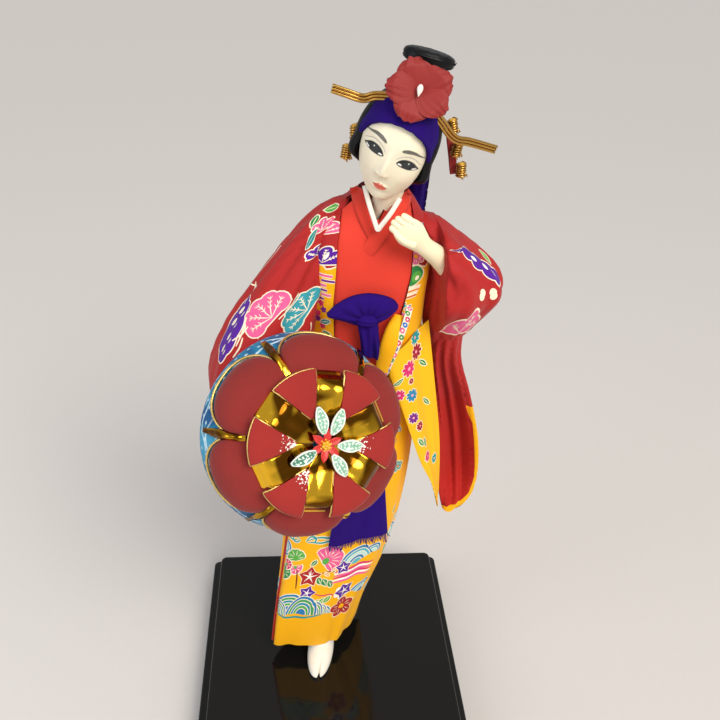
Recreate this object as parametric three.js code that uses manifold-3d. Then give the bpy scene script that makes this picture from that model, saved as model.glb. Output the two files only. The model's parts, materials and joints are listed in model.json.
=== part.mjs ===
// A dancer doll in a printed robe, holding a flower hat, on a stepped lacquer base.
// Millimetres, +Z up, origin at the centre of the base's underside, the doll faces -Y.

import * as THREE from 'three';
import { mergeVertices } from 'three/addons/utils/BufferGeometryUtils.js';
import Module from 'manifold-3d';

const wasm = await Module();
wasm.setup();

// Driving dimensions
const baseHalf = 71;            // half the side of the lower plinth
const baseTopHalf = 66;         // half the side of the raised top board
const baseHeight = 22;
const plinthHeight = 13;
const grooveHeight = 1.8;       // shadow gap between the plinth and the top board
const grooveInset = 3;
const hemHeight = 32;           // underside of the skirt
const robeBottom = 196;         // where the upper robe meets the skirt
const gap = 0.3;                // air kept between neighbouring solids
const hatRadius = 40;
const hatDepth = 25;
const hatWall = 1.8;
const hatCentre = new THREE.Vector3(-18, -45.5, 205.5);
const hatAxis = new THREE.Vector3(0.307, -0.852, 0.427).normalize();
const headCentre = new THREE.Vector3(17.2, -13, 313.5);
const headHalf = new THREE.Vector3(12.9, 16, 19);
const headTurn = { roll: 20, nod: 14, yaw: -12 };   // degrees

const red = 0xc4302b;
const clothRed = 0xd8402f;
const yellow = 0xf6b221;
const purple = 0x31108a;
const gold = 0xb98a35;
const ivory = 0xf2ead8;
const black = 0x14130f;

const group = new THREE.Group();
group.name = 'dancer_doll';

// Shape helpers

const degrees = THREE.MathUtils.degToRad;

// A closed geometry whose faces share their vertices. It is made before anything moves the points.
function welded(geometry) {
  if (geometry.index && !geometry.attributes.normal) return geometry;
  geometry.deleteAttribute('normal');
  geometry.deleteAttribute('uv');
  const merged = mergeVertices(geometry, 1e-4);
  const kept = [];
  const index = merged.index.array;
  for (let i = 0; i < index.length; i += 3) {
    const [a, b, c] = [index[i], index[i + 1], index[i + 2]];
    if (a !== b && b !== c && c !== a) kept.push(a, b, c);
  }
  merged.setIndex(kept);
  return merged;
}

// A smooth table: rows of numbers become spline curves, read at t from 0 to 1.
function table(rows) {
  const keys = Object.keys(rows[0]);
  const curves = keys.map((key) => {
    const points = rows.map((row, i) => new THREE.Vector2(i, row[key]));
    return new THREE.SplineCurve(points);
  });
  return (t) => Object.fromEntries(keys.map((key, i) => [key, curves[i].getPoint(t).y]));
}

// Signed power, which squares off an ellipse.
const signedPower = (value, power) => Math.sign(value) * Math.abs(value) ** power;

// A closed body of horizontal sections. Each row has its height z, centre x and y, half width a and
// half depth b. Optional: lean shears x with depth, square sharpens the corners, dent hollows the front.
function stacked(rows, around, levels, folds = () => 0) {
  const at = table(rows);
  const geometry = welded(new THREE.CylinderGeometry(1, 1, 1, around, levels));
  const place = geometry.attributes.position;
  for (let i = 0; i < place.count; i += 1) {
    const t = place.getY(i) + 0.5;
    const row = at(THREE.MathUtils.clamp(t, 0, 1));
    const reach = Math.hypot(place.getX(i), place.getZ(i));
    const angle = Math.atan2(place.getX(i), place.getZ(i));
    const power = 2 / (row.square ?? 2);
    const swell = reach * (1 + folds(angle, t) / row.a);
    const across = signedPower(Math.sin(angle), power) * row.a * swell;
    const front = Math.max(0, Math.cos(angle)) ** 2 * (row.dent ?? 0) * reach;
    const depth = -signedPower(Math.cos(angle), power) * row.b * swell + front;
    place.setXYZ(i, row.x + across + (row.lean ?? 0) * depth, row.y + depth, row.z);
  }
  return geometry;
}

// A thin slab laid on a surface that takes s and t from 0 to 1 and gives a point.
function draped(surface, thickness, across, along) {
  const geometry = welded(new THREE.BoxGeometry(1, 1, 1, across, along, 1));
  const place = geometry.attributes.position;
  const step = 0.004;
  for (let i = 0; i < place.count; i += 1) {
    const s = place.getX(i) + 0.5;
    const t = place.getY(i) + 0.5;
    const alongS = surface(Math.min(1, s + step), t).sub(surface(Math.max(0, s - step), t));
    const alongT = surface(s, Math.min(1, t + step)).sub(surface(s, Math.max(0, t - step)));
    const normal = alongS.cross(alongT).normalize();
    const point = surface(s, t).addScaledVector(normal, place.getZ(i) * thickness);
    place.setXYZ(i, point.x, point.y, point.z);
  }
  return geometry;
}

// A round bar with a changing radius, along a smooth path. Each row is x, y, z, wide and deep.
function limb(rows, around, levels) {
  const at = table(rows);
  const geometry = welded(new THREE.CylinderGeometry(1, 1, 1, around, levels));
  const place = geometry.attributes.position;
  const side = new THREE.Vector3(0, 1, 0);
  for (let i = 0; i < place.count; i += 1) {
    const t = THREE.MathUtils.clamp(place.getY(i) + 0.5, 0, 1);
    const row = at(t);
    const ahead = at(Math.min(1, t + 0.01));
    const behind = at(Math.max(0, t - 0.01));
    const direction = new THREE.Vector3(ahead.x - behind.x, ahead.y - behind.y, ahead.z - behind.z);
    direction.normalize();
    const wide = new THREE.Vector3().crossVectors(side, direction).normalize();
    const deep = new THREE.Vector3().crossVectors(wide, direction).normalize();
    const point = new THREE.Vector3(row.x, row.y, row.z);
    point.addScaledVector(wide, place.getX(i) * row.wide);
    point.addScaledVector(deep, place.getZ(i) * row.deep);
    place.setXYZ(i, point.x, point.y, point.z);
  }
  return geometry;
}

// A ball stretched to three half sizes.
function egg(centre, half, around = 16, rings = 10) {
  const geometry = welded(new THREE.SphereGeometry(1, around, rings));
  geometry.rotateX(Math.PI / 2);
  geometry.scale(half.x, half.y, half.z);
  geometry.translate(centre.x, centre.y, centre.z);
  return geometry;
}

const outlineOf = (points) => new THREE.Shape(points.map(([x, z]) => new THREE.Vector2(x, z)));

// A flat bar along a smooth path of [x, y, z] points.
function ribbon(points, width, depth, steps) {
  const path = new THREE.CatmullRomCurve3(points.map((p) => new THREE.Vector3(...p)), false, 'centripetal');
  const [w, d] = [width / 2, depth / 2];
  const section = outlineOf([[-w, -d], [w, -d], [w, d], [-w, d]]);
  return welded(new THREE.ExtrudeGeometry(section, { steps, extrudePath: path, bevelEnabled: false }));
}

// A flat outline in the XZ plane, made thick from its front y back to its back y.
function plate(outline, front, back, bevel = 0) {
  const depth = back - front - 2 * bevel;
  const geometry = welded(new THREE.ExtrudeGeometry(outline, {
    depth,
    bevelEnabled: bevel > 0,
    bevelThickness: bevel,
    bevelSize: bevel,
    bevelOffset: -bevel,
    bevelSegments: 1,
    curveSegments: 3,
    steps: 1,
  }));
  geometry.rotateX(Math.PI / 2);
  geometry.translate(0, back - bevel, 0);
  return geometry;
}

// Solids for joining and cutting

function solid(geometry) {
  const shape = welded(geometry);
  return new wasm.Manifold(new wasm.Mesh({
    numProp: 3,
    vertProperties: new Float32Array(shape.attributes.position.array),
    triVerts: new Uint32Array(shape.index.array),
  }));
}

function geometryOf(manifold) {
  const mesh = manifold.getMesh();
  const geometry = new THREE.BufferGeometry();
  geometry.setAttribute('position', new THREE.BufferAttribute(new Float32Array(mesh.vertProperties), 3));
  geometry.setIndex(new THREE.BufferAttribute(new Uint32Array(mesh.triVerts), 1));
  return geometry;
}

// The same shape, a little larger all round.
function grown(geometry, by) {
  const copy = welded(geometry).clone();
  copy.computeVertexNormals();
  const place = copy.attributes.position;
  const normal = copy.attributes.normal;
  for (let i = 0; i < place.count; i += 1) {
    place.setXYZ(
      i,
      place.getX(i) + normal.getX(i) * by,
      place.getY(i) + normal.getY(i) * by,
      place.getZ(i) + normal.getZ(i) * by,
    );
  }
  copy.deleteAttribute('normal');
  return copy;
}

function joined(...geometries) {
  const [first, ...rest] = geometries.map(solid);
  return geometryOf(rest.reduce((sum, next) => sum.add(next), first));
}

// The largest connected body of a geometry, without the crumbs that a cut may leave.
function largest(geometry) {
  const index = geometry.index.array;
  const leader = Array.from({ length: geometry.attributes.position.count }, (_, i) => i);
  const find = (i) => {
    let top = i;
    while (leader[top] !== top) top = leader[top];
    leader[i] = top;
    return top;
  };
  for (let i = 0; i < index.length; i += 3) {
    const top = find(index[i]);
    leader[find(index[i + 1])] = top;
    leader[find(index[i + 2])] = top;
  }
  const bodies = new Map();
  for (let i = 0; i < index.length; i += 3) {
    const top = find(index[i]);
    if (!bodies.has(top)) bodies.set(top, []);
    bodies.get(top).push(index[i], index[i + 1], index[i + 2]);
  }
  const most = [...bodies.values()].sort((a, b) => b.length - a.length)[0];
  const used = [...new Set(most)];
  const place = new Map(used.map((vertex, i) => [vertex, i]));
  const old = geometry.attributes.position;
  const kept = new THREE.BufferGeometry();
  const points = used.flatMap((vertex) => [old.getX(vertex), old.getY(vertex), old.getZ(vertex)]);
  kept.setAttribute('position', new THREE.Float32BufferAttribute(points, 3));
  kept.setIndex(most.map((vertex) => place.get(vertex)));
  return kept;
}

// Pieces are added in the order in which they keep their form: each later one makes room
// for the earlier ones that it meets.
const made = [];

function add(name, geometry, color, roughness, metalness = 0) {
  geometry.computeBoundingBox();
  const box = geometry.boundingBox.clone().expandByScalar(gap);
  let body = solid(geometry);
  let cuts = 0;
  for (const other of made) {
    if (!other.box.intersectsBox(box)) continue;
    const shared = body.intersect(other.room).getMesh().triVerts.length;
    if (!shared) continue;
    body = body.subtract(other.room);
    cuts += 1;
  }
  const shape = cuts ? largest(geometryOf(body)) : welded(geometry);
  made.push({ box, room: solid(grown(shape, gap)).add(solid(grown(shape, gap / 3))) });
  const faceted = shape.toNonIndexed();
  faceted.computeVertexNormals();
  const mesh = new THREE.Mesh(faceted, new THREE.MeshStandardMaterial({ color, roughness, metalness }));
  mesh.name = name;
  group.add(mesh);
}

// The flower hat, built round its own axis: z runs out of the dome, y is up across the brim.

const hatFrame = new THREE.Matrix4();
{
  const up = new THREE.Vector3(0, 0, 1).addScaledVector(hatAxis, -hatAxis.z).normalize();
  const right = new THREE.Vector3().crossVectors(up, hatAxis);
  hatFrame.makeBasis(right, up, hatAxis).setPosition(hatCentre);
}
const inHat = (geometry) => geometry.applyMatrix4(hatFrame);

const petalCount = 6;
const notchRadius = 30;         // where neighbouring petals part
const armAngle = 15.4;          // degrees, the first foil arm
const armStep = 360 / petalCount;
const armHalf = 5.4;            // half the width of a foil arm
const armInner = 3.7;           // radii where an arm starts and ends
const armReach = 25.5;
const wedgeTip = 12.3;          // radii where a red wedge between two arms starts and ends
const wedgeReach = 24.5;
const petalInner = 25;
const petalPuff = 3;             // how far the padding of a petal stands up
const petalThick = 1.2;
const wedgeThick = 1;
const foilThick = 0.7;
const leafWidth = 2.3;          // half the width of a leaf
const leafAngles = [93, 54, 347, 295, 196];
const leafReach = { from: 4.4, to: 13.4 };
const knobLift = 3.45;          // the bead cluster's height over the dome
const beadCount = 5;
const beadRing = 2.7;
const beadRadius = 1.5;

// Height of the dome at a radius, and a point that stands off it along its normal.
const domeHeight = (r) => hatDepth * (1 - (Math.min(r, hatRadius) / hatRadius) ** 3) ** 0.75;

function offDome(angle, r, lift) {
  const step = 0.2;
  const inner = Math.max(0, Math.min(r, hatRadius) - step);
  const fall = (domeHeight(inner) - domeHeight(inner + step)) / step;
  const long = Math.hypot(1, fall);
  const out = r + (lift * fall) / long;
  return new THREE.Vector3(Math.cos(angle) * out, Math.sin(angle) * out, domeHeight(r) + lift / long);
}

// The same, for a strip that runs out along one angle and is y wide to its side.
function besideDome(angle, r, y, lift) {
  return offDome(angle, r, lift).add(new THREE.Vector3(-Math.sin(angle) * y, Math.cos(angle) * y, 0));
}

function hatPetal(angle) {
  const rim = hatRadius - 2;
  const turn = degrees(armStep - 2.8);
  const surface = (s, t) => {
    const share = Math.abs(s - 0.5) * 2;
    const edge = notchRadius + (rim - notchRadius) * (1 - Math.min(1, share) ** 3) ** 0.5;
    const r = petalInner + (edge - petalInner) * t;
    const puff = petalPuff * Math.sin(Math.PI * t ** 1.6) * (1 - share ** 4);
    return offDome(angle + (s - 0.5) * turn, r, 1.1 + puff + 0.9 * t ** 4);
  };
  return draped((s, t) => surface(1 - s, t), petalThick, 6, 3);
}

function hatWedge(angle) {
  const half = degrees(armStep / 2);
  const surface = (s, t) => {
    const r = wedgeTip + (wedgeReach - wedgeTip) * t;
    const side = Math.max(0.2, r * Math.tan(half) - (armHalf + 3 * gap) / Math.cos(half));
    const y = (s - 0.5) * 2 * side;
    const crown = 1.5 * t * (1 - ((s - 0.5) * 2) ** 2);
    return besideDome(angle, r - y * y * 0.012, y, 2.2 + 4 * t ** 1.2 + crown);
  };
  return draped((s, t) => surface(s, 1 - t), wedgeThick, 4, 3);
}

function foilArm(angle) {
  const surface = (s, t) => {
    const arch = 3.2 * Math.sin(Math.PI * t ** 2.6) + 1.6 * t ** 3;
    const r = armInner + (armReach - armInner) * t;
    const y = (s - 0.5) * 2 * Math.min(armHalf, r * Math.tan(degrees(armStep / 2)) - gap);
    return besideDome(angle, r, y, 1.6 + arch);
  };
  return draped((s, t) => surface(s, 1 - t), foilThick, 1, 6);
}

function hatLeaf(angle) {
  const { from, to } = leafReach;
  const surface = (s, t) => {
    const width = leafWidth * Math.sin(Math.PI * (0.08 + 0.84 * t));
    const y = (s - 0.5) * 2 * width;
    return besideDome(angle, from + (to - from) * t, y, 4.8 + 0.8 * Math.sin(Math.PI * t));
  };
  return draped((s, t) => surface(s, 1 - t), foilThick, 2, 3);
}

{
  const knob = egg(new THREE.Vector3(), new THREE.Vector3(3.2, 3.2, 3.1), 6, 5);
  const beads = [knob];
  for (let i = 0; i < beadCount; i += 1) {
    const bead = welded(new THREE.SphereGeometry(beadRadius, 5, 3));
    const turn = (Math.PI * 2 * i) / beadCount;
    bead.translate(Math.cos(turn) * beadRing, Math.sin(turn) * beadRing, 1.2);
    beads.push(bead);
  }
  const centre = joined(...beads);
  centre.translate(0, 0, hatDepth + knobLift);
  add('hat_centre', inHat(centre), red, 0.5);
}
leafAngles.forEach((angle, i) => {
  add(`hat_leaf_${i + 1}`, inHat(hatLeaf(degrees(angle))), 0xa9c9ab, 0.7);
});
for (let i = 0; i < petalCount; i += 1) {
  add(`hat_foil_${i + 1}`, inHat(foilArm(degrees(armAngle + armStep * i))), gold, 0.15, 1);
}
for (let i = 0; i < petalCount; i += 1) {
  add(`hat_wedge_${i + 1}`, inHat(hatWedge(degrees(armAngle + armStep * (i + 0.5)))), red, 0.8);
}
for (let i = 0; i < petalCount; i += 1) {
  add(`hat_petal_${i + 1}`, inHat(hatPetal(degrees(armAngle + armStep * i))), red, 0.8);
}
{
  const steps = 4;
  const outer = [];
  const inner = [];
  for (let i = 0; i <= steps; i += 1) {
    const share = Math.sin((Math.PI / 2) * (i / steps));
    outer.push(new THREE.Vector2(hatRadius * share, domeHeight(hatRadius * share)));
    const r = (hatRadius - hatWall) * share;
    inner.push(new THREE.Vector2(r, domeHeight(hatRadius * share) * (1 - hatWall / hatDepth)));
  }
  const shell = welded(new THREE.LatheGeometry([...inner, ...outer.reverse()], 24));
  shell.rotateX(Math.PI / 2);
  add('hat_shell', inHat(shell), 0x1f7fa8, 0.6);
}

// Head: a tilted egg with a nose, on a neck. Its own frame has z up, -y the way it looks.

const headFrame = new THREE.Matrix4();
{
  const turn = new THREE.Euler(degrees(headTurn.nod), degrees(headTurn.roll), degrees(headTurn.yaw), 'YZX');
  headFrame.makeRotationFromEuler(turn).setPosition(headCentre);
}
const inHead = (geometry) => geometry.applyMatrix4(headFrame);

const chinDrop = 5;    // the chin lies lower than an even egg would put it
const chinLean = 1.8;  // and a little to one side
function headShape() {
  const geometry = welded(new THREE.SphereGeometry(1, 14, 10));
  geometry.rotateX(Math.PI / 2);
  const place = geometry.attributes.position;
  for (let i = 0; i < place.count; i += 1) {
    const x = place.getX(i);
    const y = place.getY(i);
    const z = place.getZ(i);
    const low = Math.max(0, -z);
    const jaw = 1 - 0.3 * low ** 3;                    // the face narrows to the chin
    const flat = y < 0 ? 0.88 : 1;                     // the face is flatter than the back
    const nape = y > 0 ? 1 - 0.35 * low * low : 1;
    const nose = y < 0 ? 2.3 * Math.exp(-((x / 0.16) ** 2) - ((z + 0.34) / 0.2) ** 2) : 0;
    const chin = y < 0 ? 1.4 * Math.exp(-((x / 0.3) ** 2) - ((z + 0.85) / 0.2) ** 2) : 0;
    const depth = y * headHalf.y * flat * nape - nose - chin;
    place.setXYZ(i, x * headHalf.x * jaw + chinLean * low, depth, z * (headHalf.z + chinDrop * low));
  }
  return geometry;
}

const neck = limb([
  { x: 14.5, y: -4, z: 277, wide: 8.5, deep: 7 },
  { x: 15.5, y: -5, z: 284, wide: 6.4, deep: 6 },
  { x: 16.5, y: -8, z: 294, wide: 5.6, deep: 5.6 },
  { x: 18, y: -10, z: 304, wide: 5.8, deep: 5.8 },
], 9, 3);

// The pieces worn on the head, small ones first

const pinPath = [
  [-7, -15, 332], [5, -17, 329], [11, -17, 330], [29, -15, 323], [40, -12, 316], [55, -10, 310],
];
const pinWidth = 3.4;
const pinDepth = 1.2;
{
  add('hairpin', ribbon(pinPath, pinWidth, pinDepth, 14), gold, 0.2, 1);
}

const flowerCentre = new THREE.Vector3(22, -23, 333);
const flowerRadius = 11.5;
const flowerPetals = 5;
const flowerTurn = degrees(115);  // where its first petal points
const flowerFrame = new THREE.Matrix4().makeRotationFromEuler(
  new THREE.Euler(degrees(68), degrees(12), degrees(-6), 'ZYX')).setPosition(flowerCentre);
{
  const stamen = welded(new THREE.SphereGeometry(1, 8, 6));
  stamen.scale(1.2, 1.9, 1.1);
  stamen.translate(0, 0, 2.4);
  add('flower_stamen', stamen.applyMatrix4(flowerFrame), 0xf4efe6, 0.4);

  const bloom = welded(new THREE.CylinderGeometry(1, 1, 1, 30, 1));
  bloom.rotateX(Math.PI / 2);
  const place = bloom.attributes.position;
  for (let i = 0; i < place.count; i += 1) {
    const angle = Math.atan2(place.getY(i), place.getX(i));
    const reach = Math.hypot(place.getX(i), place.getY(i));
    const lobe = Math.abs(Math.cos((angle - flowerTurn) * flowerPetals / 2));
    const r = reach * flowerRadius * (0.66 + 0.34 * lobe ** 0.6);
    place.setXYZ(i, Math.cos(angle) * r, Math.sin(angle) * r, place.getZ(i) * 1.4 + 2.2 * reach);
  }
  add('hair_flower', bloom.applyMatrix4(flowerFrame), red, 0.7);
}

const coilCentres = [
  [2.4, -6, 314], [-0.6, -6, 306.5], [38.5, -7, 317], [41, -7, 308.5], [43.4, -7, 300.5],
];
const coilRadius = 2;
const coilHeight = 6.4;
coilCentres.forEach((centre, i) => {
  const profile = [new THREE.Vector2(0, -coilHeight / 2)];
  const turns = 2;
  for (let k = 0; k <= turns * 2; k += 1) {
    profile.push(new THREE.Vector2(coilRadius * (k % 2 ? 1 : 0.78), coilHeight * (k / (turns * 2) - 0.5)));
  }
  profile.push(new THREE.Vector2(0, coilHeight / 2));
  const coil = welded(new THREE.LatheGeometry(profile, 7));
  coil.rotateX(Math.PI / 2);
  coil.translate(...centre);
  add(`gold_coil_${i + 1}`, coil, gold, 0.25, 1);
});
{
  const surface = (s, t) => new THREE.Vector3(37 + 3 * s + 3 * (1 - t), -5 + s, 298 + 15 * t);
  add('coil_strip', draped(surface, 0.8, 1, 3), 0x7a1f1c, 0.8);
}

const bunCentre = new THREE.Vector3(28, -4, 340.5);
const bunHalf = { wide: 9.5, deep: 6.5, high: 2.5 };
{
  const profile = [
    [0, -0.7], [0.6, -0.87], [0.86, -1], [1, -0.52], [1, 0.52], [0.86, 1], [0.6, 0.87], [0, 0.52],
  ].map(([r, z]) => new THREE.Vector2(r, z));
  const disc = welded(new THREE.LatheGeometry(profile, 14));
  disc.rotateX(Math.PI / 2);
  disc.scale(bunHalf.wide, bunHalf.deep, bunHalf.high);
  disc.rotateY(degrees(13));
  disc.translate(bunCentre.x, bunCentre.y, bunCentre.z);
  const stem = limb([
    { x: 25, y: -8, z: 329, wide: 5, deep: 5 },
    { x: 26.5, y: -6, z: 334, wide: 3.6, deep: 3.6 },
    { x: 28, y: -4, z: 340, wide: 3.8, deep: 3.8 },
  ], 8, 2);
  add('topknot', joined(disc, stem), black, 0.45);
}

// The hands

const fingerCount = 4;
const fingerRadius = 1.15;

// A row of fingers, from the knuckles' middle to the tips' middle, spread along one direction.
function fingers(base, tip, spread) {
  return Array.from({ length: fingerCount }, (_, i) => {
    const move = new THREE.Vector3().fromArray(spread).multiplyScalar(i - (fingerCount - 1) / 2);
    const [a, b] = [base, tip].map((p) => new THREE.Vector3().fromArray(p).add(move));
    const knee = a.clone().lerp(b, 0.5).add(new THREE.Vector3(-1, -1, 1));
    const rows = [a, knee, b].map((p, k) => {
      const size = fingerRadius - k * 0.12;
      return { x: p.x, y: p.y, z: p.z, wide: size, deep: size };
    });
    return limb(rows, 5, 2);
  });
}
{
  const arm = limb([
    { x: 43, y: -17, z: 264, wide: 5, deep: 4.6 },
    { x: 37, y: -19.5, z: 269.5, wide: 4.6, deep: 4.2 },
    { x: 30, y: -22, z: 275, wide: 3.9, deep: 3.3 },
    { x: 25, y: -24, z: 280.5, wide: 4.3, deep: 2.9 },
    { x: 21, y: -25, z: 285.5, wide: 4.1, deep: 2.2 },
  ], 8, 5);
  const row = fingers([20.6, -25, 285.6], [15.6, -23, 286], [1, -0.1, 1.75]);
  add('hand_left', joined(arm, ...row), ivory, 0.5);
}
{
  const arm = limb([
    { x: -33, y: -14, z: 184, wide: 5, deep: 5 },
    { x: -27, y: -26, z: 191, wide: 4.4, deep: 4.4 },
    { x: -21, y: -36, z: 198, wide: 3.8, deep: 3.4 },
    { x: -18, y: -44, z: 203.5, wide: 4.4, deep: 3 },
    { x: -16.5, y: -49, z: 206.5, wide: 4, deep: 2.4 },
  ], 8, 5);
  const row = fingers([-16.5, -49, 206.5], [-13, -51, 211.5], [1.7, 0.6, -0.6]);
  add('hand_right', joined(arm, ...row), ivory, 0.5);
}

// The sash: its bow in front of the waist and the tail that hangs under the hat
{
  const bow = new THREE.Shape();
  bow.moveTo(-7, 246);
  bow.quadraticCurveTo(0, 254.5, 8, 255);
  bow.quadraticCurveTo(15, 254, 20.5, 250.5);
  bow.quadraticCurveTo(20.5, 247, 13, 242.5);
  bow.quadraticCurveTo(12, 234, 15.5, 226);
  bow.lineTo(7.5, 227.5);
  bow.quadraticCurveTo(5, 234, 3.5, 241.5);
  bow.quadraticCurveTo(-3, 241, -7, 246);
  add('sash_bow', plate(bow, -25.5, -20.2, 1.2), purple, 0.85);
}
{
  const surface = (s, t) => {
    const left = 6 - 10 * t;
    const right = 16 + 9 * t;
    const fold = 0.8 * Math.sin(s * 9);
    const front = -22.6 + 1.6 * t - fold + 4 * s * s;
    return new THREE.Vector3(left + (right - left) * s, front, 208 - (91 - 5 * s) * t);
  };
  add('sash_tail', draped((s, t) => surface(s, 1 - t), 1.6, 5, 4), purple, 0.85);
}

// Head and hair
add('head', joined(inHead(headShape()), neck), ivory, 0.45);

// The oval that frames the face, cut straight back as far as the temples.
const faceFrame = { left: 0.4, wide: 13.3, high: 18.5, top: 13.2, back: -2 };
const hairStand = { inner: 0.45, outer: 1.2 };      // how far the hair's two faces stand off the head
const bandStand = { inner: 1.75, outer: 2.8 };
function faceOpening() {
  const oval = welded(new THREE.CylinderGeometry(1, 1, 40, 12));
  oval.scale(faceFrame.wide, 1, faceFrame.high);
  oval.translate(-faceFrame.left, faceFrame.back - 20, faceFrame.top - faceFrame.high);
  return oval;
}
const bandTilt = Math.atan2(0.65, 0.76);      // the headband's plane runs from the hairline to the nape

// A slab as wide as the head, between two distances along the band's tilted normal.
function bandSlab(from, to) {
  const slab = welded(new THREE.BoxGeometry(60, 60, to - from));
  slab.translate(0, 0, (from + to) / 2);
  slab.rotateX(-bandTilt);
  return slab;
}

// An egg over the head that stands off it by a few tenths of a millimetre, faceted as the head is.
function cap(off) {
  const centre = new THREE.Vector3(0, off * 0.2, off * 0.2);
  return solid(egg(centre, headHalf.clone().addScalar(off), 14, 10));
}
{
  const band = cap(bandStand.outer)
    .intersect(solid(bandSlab(0, 12.5)))
    .subtract(solid(faceOpening()))
    .subtract(cap(bandStand.inner));
  add('headband', inHead(geometryOf(band)), purple, 0.85);

  const hair = cap(hairStand.outer)
    .subtract(solid(faceOpening()))
    .subtract(cap(hairStand.inner))
    .subtract(solid(new THREE.BoxGeometry(60, 60, 30).translate(0, 0, -25.5)));
  add('hair', inHead(geometryOf(hair)), black, 0.45);
}
{
  const surface = (s, t) => {
    const back = 9 + 13 * Math.sin((Math.PI / 2) * t) + 1.2 * Math.sin(s * 6);
    return new THREE.Vector3(26 + 9 * s, back, 300 - 58 * t);
  };
  add('headband_tail', draped(surface, 1.2, 2, 5), purple, 0.85);
}

// Collars: a white strip follows the neckline
{
  const path = [
    [7.5, -12, 293.5], [9.2, -16, 287.5], [12.4, -19.3, 279],
    [12.9, -19.4, 278.2], [17, -18.6, 284.5], [20.5, -15, 290.5],
  ];
  add('under_collar', ribbon(path, 1.8, 1.4, 7), 0xf6f1e6, 0.8);
}

// Robes, the free pieces first
{
  // The open front panel that hangs free at the side, from the chest to below the hip.
  const leftEdge = table([
    { x: 17, z: 224 }, { x: 27, z: 196 }, { x: 37, z: 168 }, { x: 43.5, z: 154 }, { x: 48, z: 139 },
  ]);
  const rightEdge = table([
    { x: 36.5, z: 235.5 }, { x: 43, z: 199 }, { x: 47, z: 175 }, { x: 49, z: 157 }, { x: 50.5, z: 139 },
  ]);
  const surface = (s, t) => {
    const [a, b] = [leftEdge(t), rightEdge(t)];
    const billow = 1.5 * Math.sin(s * 6 + t * 2);
    const front = -21.5 + 5 * t + 13 * s ** 1.5 - billow;
    return new THREE.Vector3(a.x + (b.x - a.x) * s, front, a.z + (b.z - a.z) * s);
  };
  add('side_panel', draped((s, t) => surface(s, 1 - t), 2, 5, 6), yellow, 0.85);
}
const sleeveFolds = (angle, t) => 0.9 * Math.sin(angle * 7 + 4 * t) * Math.sin(Math.PI * t);
{
  const arm = stacked([
    { z: 213, x: 49, y: 0, a: 4, b: 6 },
    { z: 222, x: 46, y: 0, a: 9, b: 9 },
    { z: 236, x: 48, y: -2, a: 13, b: 12 },
    { z: 247, x: 51, y: -4, a: 16, b: 14 },
    { z: 257, x: 50, y: -4, a: 14.5, b: 14 },
    { z: 266, x: 44, y: -3, a: 11.5, b: 13 },
    { z: 273, x: 37.5, y: -2, a: 9, b: 10 },
    { z: 279, x: 33, y: -1, a: 5, b: 6 },
  ], 13, 7, sleeveFolds);
  const bag = stacked([
    { z: 120, x: 58, y: 2, a: 3, b: 4, dent: 0 },
    { z: 127, x: 60.5, y: 2, a: 7.5, b: 8, dent: 6 },
    { z: 142, x: 60.5, y: 3, a: 10, b: 11, dent: 14 },
    { z: 165, x: 58, y: 3, a: 10, b: 12, dent: 15 },
    { z: 190, x: 53.5, y: 3, a: 9, b: 12, dent: 12 },
    { z: 212, x: 49.5, y: 3, a: 8, b: 11, dent: 5 },
    { z: 232, x: 49, y: 2, a: 8, b: 10, dent: 0 },
  ], 14, 7);
  add('sleeve_left', joined(arm, bag), clothRed, 0.85);
}
{
  const sleeve = stacked([
    { z: 146, x: -30, y: 2, a: 13, b: 6, square: 2.6 },
    { z: 165, x: -32, y: -1, a: 18, b: 11, square: 2.4 },
    { z: 190, x: -34, y: -5, a: 22, b: 16, square: 2.2 },
    { z: 212, x: -33.5, y: -8, a: 23, b: 18, square: 2 },
    { z: 233, x: -29.3, y: -7, a: 19, b: 16, square: 2 },
    { z: 251.5, x: -21.5, y: -4, a: 14.3, b: 14, square: 2 },
    { z: 268.5, x: -12.7, y: -1, a: 9.7, b: 12, square: 2 },
    { z: 280, x: -5.7, y: 0, a: 6.2, b: 9, square: 2 },
    { z: 286, x: -1.7, y: 0, a: 3, b: 5, square: 2 },
  ], 15, 9, sleeveFolds);
  add('sleeve_right', sleeve, clothRed, 0.85);
}

const torsoRows = [
  { z: robeBottom, x: 10, y: 2, a: 27.5, b: 20.5 },
  { z: 225, x: 10, y: 1, a: 25, b: 19 },
  { z: 245, x: 10, y: 0, a: 25, b: 18.5 },
  { z: 261, x: 10, y: 0, a: 26, b: 18 },
  { z: 274, x: 10.5, y: 0, a: 23.5, b: 16.5 },
  { z: 283, x: 13, y: 0, a: 17, b: 13.5 },
  { z: 290, x: 15, y: 0, a: 10, b: 10.5 },
];
const torso = (less = 0) => stacked(
  torsoRows.map((row) => ({ ...row, a: row.a - less, b: row.b - less, square: 2.5 })), 18, 6);

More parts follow.
